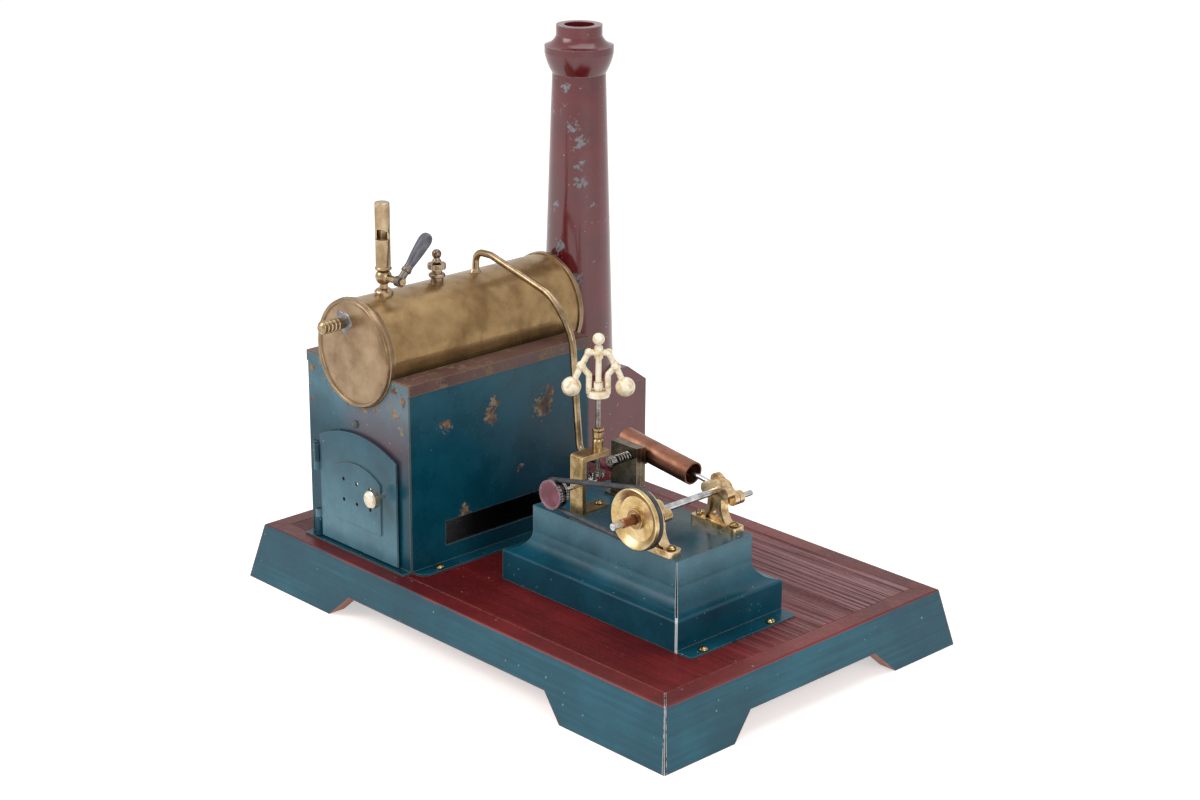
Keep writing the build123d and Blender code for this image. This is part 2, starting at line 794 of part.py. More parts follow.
def bearing(y):
    # A-frame with a sunk, holed web inside its rims, on a two-lugged foot and under a slotted head.
    foot_half = bearing_foot_length / 2
    waist = bearing_waist / 2
    waist_z = shaft_rise - bearing_head
    root_z = bearing_foot / 2
    flare = foot_half - bearing_pad
    foot = block(-foot_half, foot_half, -bearing_foot_width / 2, bearing_foot_width / 2, 0, bearing_foot)
    foot = fillet(foot.edges().filter_by(Axis.Z), bearing_foot_corner)
    bulge = (waist + (flare - waist) * 0.3, root_z + (waist_z - root_z) * 0.4)
    right = [ThreePointArc((flare, root_z), bulge, (waist, waist_z)),
             Line((waist, waist_z), (waist, shaft_rise))]
    left = [mirror(edge, Plane.YZ) for edge in right]
    ends = [Line((waist, shaft_rise), (-waist, shaft_rise)), Line((-flare, root_z), (flare, root_z))]
    outline = make_face([*right, *left, *ends])
    frame = front_plane.offset(-bearing_frame / 2) * extrude(outline, bearing_frame)
    sunk = front_plane.offset(bearing_web / 2) * extrude(offset(outline, -bearing_rim), bearing_frame)
    frame = frame - sunk - mirror(sunk, Plane.XZ)
    head = SlotOverall(bearing_head_width, bearing_head)
    head = Pos(0, shaft_rise) * (head + Pos(0, bearing_head * 0.3) * Circle(bearing_head * 0.62))
    head = front_plane.offset(-bearing_head_depth / 2) * extrude(head, bearing_head_depth)
    across = along_y * extrude(Circle(shaft_radius + running_gap), bearing_foot_width, both=True)
    window = along_y * extrude(Circle(bearing_window_radius), bearing_foot_width, both=True)
    frame = foot + frame + head - Pos(0, 0, shaft_rise) * across - Pos(0, 0, bearing_window_rise) * window
    return Pos(shaft_x, y, bed_top) * frame


def crank():
    # Bar crank drawn along +X from the shaft's centre and turned to its resting angle.
    arm = SlotCenterToCenter(crank_radius + crank_tail, 2 * crank_boss_radius)
    face = Pos((crank_radius - crank_tail) / 2, 0) * arm + Circle(crank_hub_radius)
    face = face - Circle(shaft_radius + seat_gap)
    web = Rot(0, -crank_rest_angle, 0) * (front_plane * extrude(face, crank_web))
    return Pos(shaft_x, crank_back, shaft_z) * web


groove_radius = pulley_radius - 2 * belt_radius - belt_gap + belt_stand
small_groove_radius = small_pulley_radius - 2 * belt_radius - belt_gap + small_belt_stand
pulley_front = belt_y - belt_radius - belt_gap - (pulley_front_lip - belt_radius)
pulley_back = belt_y + belt_radius + belt_gap + (pulley_back_lip - belt_radius)


def grooved(radius, groove, front, back):
    # Half section of a grooved wheel about Z, its front at z = 0 and the belt's plane at belt_y.
    middle = belt_y - front
    half = belt_radius + belt_gap
    return [(radius, 0), (radius, middle - half), (groove, middle - half / 2), (groove, middle + half / 2),
            (radius, middle + half), (radius, back - front)]


def drive_pulley():
    bore = shaft_radius + seat_gap
    thickness = pulley_back - pulley_front
    rim = grooved(pulley_radius, groove_radius, pulley_front, pulley_back)
    front = [(bore, 0), (pulley_hub_radius - pulley_bevel, 0), (pulley_hub_radius, pulley_dish),
             (pulley_dish_radius, pulley_rim_step), (pulley_dish_radius, 0)]
    back = [(r, thickness - z) for r, z in reversed(front)]
    profile = front + rim + back
    return Pos(shaft_x, pulley_front, shaft_z) * (along_y * turned(profile))


def shaft_sleeve():
    tube = extrude(Circle(sleeve_radius) - Circle(shaft_radius + seat_gap), sleeve_length)
    return Pos(shaft_x, pulley_front - sleeve_length, shaft_z) * (along_y * tube)


keep(bearing(bearing_front_y), "front_bearing")
keep(bearing(bearing_back_y), "back_bearing")
keep(rod((shaft_x, shaft_front, shaft_z), (shaft_x, crank_back, shaft_z), shaft_radius), "crankshaft")
keep(crank(), "crank")
keep(drive_pulley(), "drive_pulley")
keep(shaft_sleeve(), "shaft_sleeve")


# Governor drive: small pulley, its shaft and pinion, and the rubber belt as one fixed loop
small_pulley_x = bed_x - governor_behind
small_z = bed_top + small_pulley_rise
yoke_front = bed_y - yoke_reach
spindle_y = bed_y - spindle_reach
small_half = belt_radius + belt_gap
small_front = belt_y - small_half - (small_pulley_lip - belt_radius)
small_back = belt_y + small_half + (small_pulley_lip - belt_radius)
pinion_pitch = crown_pitch_radius * pinion_teeth / crown_teeth
pinion_front = spindle_y - crown_pitch_radius - crown_face


def small_pulley():
    bore = small_shaft_radius + seat_gap
    thickness = small_back - small_front
    rim = grooved(small_pulley_radius, small_groove_radius, small_front, small_back)
    lip = small_pulley_radius - pulley_bevel
    profile = [(bore, small_pulley_recess), (lip, small_pulley_recess), (lip, 0)] + rim + [(bore, thickness)]
    return Pos(small_pulley_x, small_front, small_z) * (along_y * turned(profile))


def tooth(low, high):
    # One tapered tooth standing along the second axis from low to high.
    root, tip = tooth_width * 0.72, tooth_width * 0.34
    return make_face(Polyline((-root, low), (root, low), (tip, high), (-tip, high), close=True))


def small_shaft():
    body = rod((0, small_front, 0), (0, spindle_y - crown_pitch_radius + crown_face, 0), small_shaft_radius)
    root = pinion_pitch - tooth_dedendum
    face = Sketch() + Circle(root)
    for step in range(pinion_teeth):
        turn = Rot(0, 0, (step + 0.5) * 360 / pinion_teeth)
        face += turn * tooth(root * 0.8, pinion_pitch + tooth_addendum)
    pinion = Pos(0, pinion_front + pinion_face, 0) * (front_plane * extrude(face, pinion_face))
    return Pos(small_pulley_x, 0, small_z) * (body + pinion)


def belt_run(side):
    # Centre line of one straight run: tangent to both belt circles on the upper or lower side.
    big, small = groove_radius + belt_radius + belt_gap, small_groove_radius + belt_radius + belt_gap
    dx, dz = shaft_x - small_pulley_x, shaft_z - small_z
    slope = atan2(dz, dx)
    lean = asin((big - small) / hypot(dx, dz))
    angle = slope + side * (pi / 2 + lean)
    start = (small_pulley_x + small * cos(angle), belt_y, small_z + small * sin(angle))
    end = (shaft_x + big * cos(angle), belt_y, shaft_z + big * sin(angle))
    return start, end, degrees(angle), big, small


def drive_belt():
    start, end, upper, big, small = belt_run(1)
    belt = rod(start, end, belt_radius)
    low_start, low_end, lower, big, small = belt_run(-1)
    belt = belt + rod(low_start, low_end, belt_radius)
    for x, z, radius, first, turn in ((small_pulley_x, small_z, small, upper, 360 - upper + lower),
                                      (shaft_x, shaft_z, big, lower, upper - lower)):
        section = Plane((radius, 0, 0), x_dir=(1, 0, 0), z_dir=(0, 0, 1)) * Circle(belt_radius)
        arc = revolve(section, Axis.Y, turn)
        belt = belt + Pos(x, belt_y, z) * (Rot(0, -first - turn, 0) * arc)
    return belt


keep(small_pulley(), "governor_pulley")
keep(small_shaft(), "governor_pulley_shaft")
keep(drive_belt(), "drive_belt")


# Governor: a bent brass yoke and bush, the spindle with its crown wheel, and the cast head
yoke_top = bed_top + yoke_height
crown_pitch_z = small_z + pinion_pitch
crown_root_z = crown_pitch_z + tooth_dedendum
head_z = yoke_top + governor_base


def yoke():
    back = yoke_front + yoke_depth
    left, right = small_pulley_x - yoke_width / 2, small_pulley_x + yoke_width / 2
    strap = block(left, right, yoke_front, yoke_front + yoke_strip, bed_top, yoke_top)
    strap = strap + block(left, right, yoke_front, back, yoke_top - yoke_strip, yoke_top)
    strap = strap + block(left, right, yoke_front, back, bed_top, bed_top + yoke_strip / 2)
    bend = strap.edges().filter_by(Axis.X).sort_by(Axis.Z)[-2:].sort_by(Axis.Y)[0]
    strap = fillet(bend, yoke_strip * 0.6)
    shaft_hole = rod((small_pulley_x, yoke_front - sheet, small_z),
                     (small_pulley_x, yoke_front + 2 * yoke_strip, small_z), small_shaft_radius + running_gap)
    spindle_hole = rod((small_pulley_x, spindle_y, yoke_top - 2 * yoke_strip),
                       (small_pulley_x, spindle_y, yoke_top + sheet), spindle_radius + running_gap)
    return strap - shaft_hole - spindle_hole


def bush():
    inner = spindle_radius + running_gap
    half = bush_height / 2
    lower = bush_radius - bush_step
    profile = [(inner, 0), (lower, 0), (lower, half - bush_bevel), (bush_radius - bush_waist, half),
               (lower, half + bush_bevel), (lower, bush_height - 2 * bush_bevel),
               (bush_radius, bush_height - bush_bevel), (bush_radius, bush_height), (inner, bush_height)]
    return Pos(small_pulley_x, spindle_y, yoke_top) * turned(profile)


def spindle():
    shaft = rod((0, 0, crown_root_z), (0, 0, head_z + governor_socket - seat_gap), spindle_radius)
    plate = Pos(0, 0, crown_root_z) * extrude(Circle(crown_pitch_radius + crown_face / 2), crown_plate)
    wheel = shaft + plate
    depth = tooth_dedendum + tooth_addendum
    blank = extrude(tooth(0, depth), crown_face)
    for step in range(crown_teeth):
        turn = Rot(0, 0, step * 360 / crown_teeth)
        place = Pos(0, -crown_pitch_radius + crown_face / 2, crown_root_z + 0.02)
        wheel = wheel + turn * place * (Rot(0, 180, 0) * (front_plane * blank))
    return Pos(small_pulley_x, spindle_y, 0) * wheel


def governor_head():
    # Cast in one piece: finial, cross hub, jointed arms with balls, and the ringed sleeve below.
    hub_z = governor_height - governor_hub_drop
    knuckle_z = governor_height - governor_knuckle_drop
    finial_z = governor_height - governor_top_ball_radius
    half = governor_hub_half
    inner = spindle_radius + seat_gap
    taper = governor_hub_radius - governor_ring_edge / 2
    edge = governor_sleeve_radius - governor_ring_edge
    body = turned([(0, hub_z - half), (taper, hub_z - half), (governor_hub_radius, hub_z),
                   (taper, hub_z + half), (governor_neck_radius, hub_z + half + governor_ring_edge),
                   (governor_neck_radius, finial_z), (0, finial_z)])
    body = body + Pos(0, 0, finial_z) * Sphere(governor_top_ball_radius)
    body = body + rod((0, 0, governor_socket), (0, 0, hub_z), governor_rod_radius)
    ring = turned([(inner, 0), (governor_sleeve_radius, 0),
                   (governor_sleeve_radius, governor_ring - governor_ring_edge), (edge, governor_ring),
                   (inner, governor_ring)])
    body = body + ring + extrude(Circle(governor_stem_radius), governor_sleeve)
    body = body - extrude(Circle(inner), governor_socket)
    for side in (-1, 1):
        shoulder = (side * governor_shoulder, 0, hub_z)
        knuckle = (side * governor_knuckle_reach, 0, knuckle_z)
        ball = (side * governor_ball_reach, 0, governor_ball_rise)
        foot = (side * edge, 0, governor_ring / 2)
        elbow = (side * edge, 0, governor_elbow_rise)
        body = body + rod((0, 0, hub_z), shoulder, governor_rod_radius)
        body = body + Pos(*shoulder) * Sphere(governor_shoulder_radius)
        body = body + rod(shoulder, knuckle, governor_rod_radius)
        body = body + Pos(*knuckle) * Sphere(governor_knuckle_radius)
        body = body + rod(knuckle, ball, governor_rod_radius) + Pos(*ball) * Sphere(governor_ball_radius)
        body = body + rod(knuckle, elbow, governor_rod_radius) + rod(elbow, foot, governor_rod_radius)
        body = body + Pos(*elbow) * Sphere(governor_rod_radius)
    return Pos(small_pulley_x, spindle_y, head_z) * (Rot(0, 0, governor_angle) * body)


keep(yoke(), "governor_yoke")
keep(bush(), "governor_bush")
keep(spindle(), "governor_spindle")
keep(governor_head(), "governor_head")


# Oscillating cylinder: its line runs from the pivot to the crank pin
pivot_x = bed_x - pivot_behind
pivot_z = bed_top + pivot_rise
port_front = bed_y + port_reach
port_back = port_front + port_thickness
block_front = port_back + side_gap
block_back = block_front + block_thickness
rod_y = crank_back + side_gap + eye_thickness / 2
reach = hypot(pin_x - pivot_x, pin_z - pivot_z)
tilt = degrees(atan2(pin_z - pivot_z, pin_x - pivot_x))
cylinder_line = Pos(pivot_x, rod_y, pivot_z) * Rot(0, -tilt, 0)
bore_radius = cylinder_radius - cylinder_wall
rod_end = reach - eye_radius * 0.8


def along(low, high, radius):
    # A round bar on the cylinder's own line, measured from the pivot towards the crank.
    return Pos(low, 0, 0) * (Rot(0, 90, 0) * extrude(Circle(radius), high - low))


def cylinder_tube():
    return cylinder_line * (along(-cylinder_back, cylinder_front, cylinder_radius)
                            - along(-cylinder_back - sheet, cylinder_front + sheet, bore_radius))


def cylinder_end():
    inside = bore_radius - seat_gap
    return cylinder_line * along(side_gap - cylinder_back, side_gap - cylinder_back + cylinder_cap, inside)


def port_plate():
    left = pivot_x - port_left
    plate = block(left, left + port_width, port_front, port_back, bed_top, pivot_z + port_top)
    foot = block(left, left + port_width, port_front - port_foot, port_front,
                 bed_top, bed_top + port_foot_thickness)
    hole = rod((pivot_x, port_front - sheet, pivot_z), (pivot_x, port_back + sheet, pivot_z),
               pivot_radius + running_gap)
    return plate + foot - hole


def port_block():
    left = pivot_x - port_left
    plate = block(left, left + port_width, block_front, block_back,
                  pivot_z - block_drop, pivot_z + port_top - side_gap)
    middle = pivot_x + (port_width - 2 * port_left) / 2
    plate = plate + block(middle - saddle_width / 2, middle + saddle_width / 2, block_back,
                          block_back + saddle_depth, pivot_z - saddle_low, pivot_z + saddle_high)
    tube = cylinder_line * along(-2 * cylinder_back, cylinder_front, cylinder_radius + seat_gap)
    hole = rod((pivot_x, block_front - sheet, pivot_z), (pivot_x, block_back + saddle_depth, pivot_z),
               pivot_radius + seat_gap)
    return plate - tube - hole


stud_front = port_front - spring_length - pivot_nut
spring_low = port_front - spring_length


def pivot_stud():
    return rod((pivot_x, stud_front, pivot_z), (pivot_x, block_back, pivot_z), pivot_radius)


def pivot_spring():
    pitch = (spring_length - 2 * spring_wire - 2 * seat_gap) / spring_turns
    coil = Helix(pitch, pitch * spring_turns, spring_radius - spring_wire)
    wire = sweep(Plane(coil @ 0, z_dir=coil % 0) * Circle(spring_wire), path=coil)
    return Pos(pivot_x, spring_low + spring_wire + seat_gap, pivot_z) * (along_y * wire)


def pivot_nut_piece():
    nut = extrude(RegularPolygon(pivot_nut_radius, 6) - Circle(pivot_radius + seat_gap), pivot_nut - side_gap)
    return Pos(pivot_x, stud_front + side_gap, pivot_z) * (along_y * nut)


def piston():
    crown_back = cylinder_front - piston_inset - piston_length
    groove = along(crown_back + piston_length * 0.55, crown_back + piston_length * 0.65, bore_radius)
    head = along(crown_back, crown_back + piston_length, bore_radius - running_gap)
    core = along(crown_back, crown_back + piston_length, bore_radius - sheet)
    return cylinder_line * (head - groove + core + along(crown_back, rod_end, rod_radius))


def big_end():
    # Eye on the rod's end, bored for the pin that it carries.
    eye = along_y * extrude(Circle(eye_radius), eye_thickness)
    eye = Pos(pin_x, rod_y - eye_thickness / 2, pin_z) * eye
    shank = cylinder_line * along(reach - eye_radius - eye_shank, reach, eye_thickness / 2)
    socket_start = reach - eye_radius - 2 * eye_shank
    socket = cylinder_line * along(socket_start, rod_end + seat_gap, rod_radius + seat_gap)
    hole = rod((pin_x, rod_y - eye_thickness, pin_z), (pin_x, rod_y + eye_thickness, pin_z),
               pin_radius + seat_gap)
    return eye + shank - socket - hole


def crank_pin():
    front = rod_y - eye_thickness / 2
    return rod((pin_x, front, pin_z), (pin_x, front + eye_thickness + pin_stub, pin_z), pin_radius)


keep(port_plate(), "port_plate")
keep(port_block(), "port_block")
keep(cylinder_tube(), "cylinder_tube")
keep(cylinder_end(), "cylinder_end")
keep(pivot_stud(), "pivot_stud")
keep(pivot_spring(), "pivot_spring")
keep(pivot_nut_piece(), "pivot_nut")
keep(piston(), "piston")
keep(big_end(), "big_end")
keep(crank_pin(), "crank_pin")


# Steam pipe: up from the boiler's crown, across to the engine and down to a union on the port plate
pipe_y = boiler_front + pipe_back
port_left_x = pivot_x - port_left
union_x = port_left_x - union_length
union_y = port_back - union_radius - seat_gap
union_z = pivot_z - union_drop


def steam_pipe():
    # Bent by hand, so its turns are uneven.
    bend_z = crown_z + pipe_rise
    crest = (box_right + pipe_crest, pipe_y + pipe_crest_back, crown_z - pipe_crest_drop)
    route = [(firebox_x, pipe_y, crown_z - sheet), (firebox_x + pipe_lean, pipe_y, bend_z),
             (firebox_x + pipe_top_run, pipe_y + pipe_lean, bend_z), crest,
             (union_x - pipe_knee_behind, union_y, crown_z - pipe_knee_drop),
             (union_x - pipe_bow, union_y, union_z + pipe_bow_rise),
             (union_x - pipe_tail, union_y, union_z), (union_x, union_y, union_z)]
    path = FilletPolyline(*route, radius=pipe_bends)
    tube = sweep(Plane(path @ 0, z_dir=path % 0) * Circle(pipe_radius), path=path)
    return tube - saddle


def pipe_union():
    tube = extrude(Circle(union_radius), union_length - seat_gap)
    return Pos(union_x, union_y, union_z) * (Rot(0, 90, 0) * tube)


keep(steam_pipe(), "steam_pipe")
keep(pipe_union(), "pipe_union")
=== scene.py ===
# Toy steam plant: finishes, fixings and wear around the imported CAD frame, in metres.
import math

import bpy
from mathutils import Matrix, Vector


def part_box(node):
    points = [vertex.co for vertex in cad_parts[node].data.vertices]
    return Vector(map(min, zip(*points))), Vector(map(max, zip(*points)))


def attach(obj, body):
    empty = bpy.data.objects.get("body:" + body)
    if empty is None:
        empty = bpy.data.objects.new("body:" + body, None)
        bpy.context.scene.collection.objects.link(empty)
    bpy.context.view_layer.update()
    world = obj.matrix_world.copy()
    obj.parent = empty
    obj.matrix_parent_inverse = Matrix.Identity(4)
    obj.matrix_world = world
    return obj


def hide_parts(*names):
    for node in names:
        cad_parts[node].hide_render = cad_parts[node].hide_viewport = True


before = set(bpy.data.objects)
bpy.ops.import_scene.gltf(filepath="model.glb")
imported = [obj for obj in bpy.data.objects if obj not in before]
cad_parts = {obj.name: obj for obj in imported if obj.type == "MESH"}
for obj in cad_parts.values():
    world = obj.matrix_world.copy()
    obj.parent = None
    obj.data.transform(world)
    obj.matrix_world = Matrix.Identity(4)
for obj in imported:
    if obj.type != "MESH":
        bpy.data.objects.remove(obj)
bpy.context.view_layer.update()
bpy.ops.object.select_all(action="DESELECT")
mm = 0.001
print("frame loaded with", len(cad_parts), "nodes")


def linearColour(hexCode):
    channels = [int(hexCode[i:i + 2], 16) / 255 for i in (1, 3, 5)]
    return [c / 12.92 if c <= 0.04045 else ((c + 0.055) / 1.055) ** 2.4 for c in channels] + [1.0]


def addNode(tree, kind, settings=None, links=None, out=0):
    # gives one of the new node's outputs, or all of them where out is None
    node = tree.nodes.new("ShaderNode" + kind)
    for key, value in (settings or {}).items():
        if key == "stops":  # colour ramp stops, low to high
            ramp = node.color_ramp.elements
            while len(ramp) < len(value):
                ramp.new(1.0)
            for element, (position, hexCode) in zip(ramp, value):
                element.position, element.color = position, linearColour(hexCode)
        elif isinstance(key, str) and hasattr(node, key):
            setattr(node, key, value)
        else:
            node.inputs[key].default_value = linearColour(value) if isinstance(value, str) else value
    for key, source in (links or {}).items():
        tree.links.new(source, node.inputs[key])
    return node.outputs if out is None else node.outputs[out]


def startMaterial(name):
    material = bpy.data.materials.new(name)
    material.use_nodes = True
    tree = material.node_tree
    return material, tree, tree.nodes["Principled BSDF"], addNode(tree, "TexCoord", out="Object")


def layCoats(tree, colour, coats):
    # each coat hides what lies under it where its mask is 1; a coat is one hex colour or a pattern. Mix takes
    # its two colours at sockets 6 and 7 and gives the result at 2
    for mask, coat in coats:
        settings, links = {"data_type": "RGBA"}, {0: mask, 6: colour}
        (settings if isinstance(coat, str) else links)[7] = coat
        colour = addNode(tree, "Mix", settings, links, 2)
    return colour


def joinSurface(tree, shader, colour, rough, normal):
    for socket, source in (("Base Color", colour), ("Roughness", rough), ("Normal", normal)):
        tree.links.new(source, shader.inputs[socket])


def edgeMask(tree, width):
    # 1 on arrises, 0 on flat ground: where a rounded normal leaves the true one
    rounded = addNode(tree, "Bevel", {"samples": 6, "Radius": width * mm})
    straight = addNode(tree, "NewGeometry", out="Normal")
    turn = addNode(tree, "VectorMath", {"operation": "DOT_PRODUCT"}, {0: rounded, 1: straight}, "Value")
    return addNode(tree, "MapRange", {"From Min": 0.99, "From Max": 0.87}, {"Value": turn})


def nearMask(tree, coords, place, radius):
    # 1 at a place in mm, falling to 0 at the radius
    centre = [v * mm for v in place]
    far = addNode(tree, "VectorMath", {"operation": "DISTANCE", 1: centre}, {0: coords}, "Value")
    return addNode(tree, "MapRange", {"From Min": radius * mm, "From Max": 0}, {"Value": far})


def speckMask(tree, coords, spacing, size):
    # small dots, a different size in each cell and none at all in most
    cells = addNode(tree, "TexVoronoi", {"Scale": 1 / (spacing * mm)}, {"Vector": coords}, None)
    chance = addNode(tree, "SeparateColor", links={"Color": cells["Color"]})
    reach = addNode(tree, "MapRange", {"From Min": 0.55, "From Max": 1.0, "To Max": size / spacing},
                    {"Value": chance})
    return addNode(tree, "Math", {"operation": "LESS_THAN"}, {0: cells["Distance"], 1: reach})


def scratchMask(tree, coords, turn, spacing, width):
    # the same dots drawn out twelvefold into straight hair lines along one slant
    slant = addNode(tree, "Mapping", {"Rotation": [math.radians(v) for v in turn], "Scale": (0.08, 1, 1)},
                    {"Vector": coords})
    return speckMask(tree, slant, spacing, width)


tornForm = {"push": 8.0, "pushSize": 4.0, "raggedSize": 1.8}  # how far and how finely a patch's edge is torn


def spotMask(tree, coords, spots, hold):
    # torn patches at places read off the photograph, pushed about and broken up by noise
    push = tornForm["push"] * mm
    warp = addNode(tree, "TexNoise", {"Scale": 1 / (tornForm["pushSize"] * mm), "Detail": 4},
                   {"Vector": coords}, "Color")
    shift = addNode(tree, "VectorMath", {"operation": "MULTIPLY_ADD", 1: [push] * 3, 2: [-push / 2] * 3},
                    {0: warp})
    moved = addNode(tree, "VectorMath", {"operation": "ADD"}, {0: coords, 1: shift})
    ragged = addNode(tree, "TexNoise", {"Scale": 1 / (tornForm["raggedSize"] * mm), "Detail": 5,
                                        "Roughness": 0.7}, {"Vector": coords})
    total = nearMask(tree, moved, *spots[0])
    for place, radius in spots[1:]:
        near = nearMask(tree, moved, place, radius)
        total = addNode(tree, "Math", {"operation": "MAXIMUM"}, {0: total, 1: near})
    torn = addNode(tree, "Math", {"operation": "MULTIPLY_ADD", 1: hold}, {0: total, 2: ragged})
    return addNode(tree, "MapRange", {"From Min": 0.98, "From Max": 1.06}, {"Value": torn})


def seamMasks(tree, coords, seam):
    # an upright mitre at x + y = seam["sum"]: the open slit, and the rubbed metal or wood each side of it
    place = addNode(tree, "SeparateXYZ", links={"Vector": coords}, out=None)
    across = addNode(tree, "Math", {"operation": "ADD"}, {0: place["X"], 1: place["Y"]})
    across = addNode(tree, "Math", {"operation": "SUBTRACT", 1: seam["sum"] * mm}, {0: across})
    across = addNode(tree, "Math", {"operation": "ABSOLUTE"}, {0: across})
    high, low = (v * mm for v in seam["height"])
    narrow, wide = (v * mm for v in seam["slit"])
    slit = addNode(tree, "MapRange", {"From Min": high, "From Max": low, "To Min": narrow, "To Max": wide},
                   {"Value": place["Z"]})
    rub = addNode(tree, "Math", {"operation": "ADD", 1: seam["rub"] * mm}, {0: slit})
    below = addNode(tree, "Math", {"operation": "LESS_THAN", 1: high}, {0: place["Z"]})
    outer = addNode(tree, "Math", {"operation": "GREATER_THAN", 1: seam["from"] * mm}, {0: place["X"]})
    here = addNode(tree, "Math", {"operation": "MULTIPLY"}, {0: below, 1: outer})
    gaping = addNode(tree, "Math", {"operation": "GREATER_THAN", 1: low}, {0: place["Z"]})
    dark = addNode(tree, "Math", {"operation": "LESS_THAN"}, {0: across, 1: slit})
    dark = addNode(tree, "Math", {"operation": "MULTIPLY"}, {0: dark, 1: gaping})
    pale = addNode(tree, "Math", {"operation": "LESS_THAN"}, {0: across, 1: rub})
    return [addNode(tree, "Math", {"operation": "MULTIPLY"}, {0: mask, 1: here}) for mask in (dark, pale)]


# Stoved enamel on tinplate: dark and glossy, so it greys wherever it mirrors the table, with a painted pale
# sheen on upright faces, bright worn arrises, small grey chips, hair scratches and brown rust where the paint
# has gone
enamelGrain = {"cloud": 28.0, "dents": 14.0, "patchesPerChip": 6, "dots": (3.0, 0.42),
               "scratches": (8.0, 0.3), "slants": ((20, 70, 35), (65, 15, 80)), "markStrength": 0.5,
               "flakeHold": 0.66, "rustHold": 0.76,
               "rust": [(0.36, "#3a2b27"), (0.47, "#6c4f3d"), (0.56, "#957a5a"), (0.66, "#8a8b86")],
               "seamRubbed": "#c9d0d2", "seamOpen": "#08090a"}


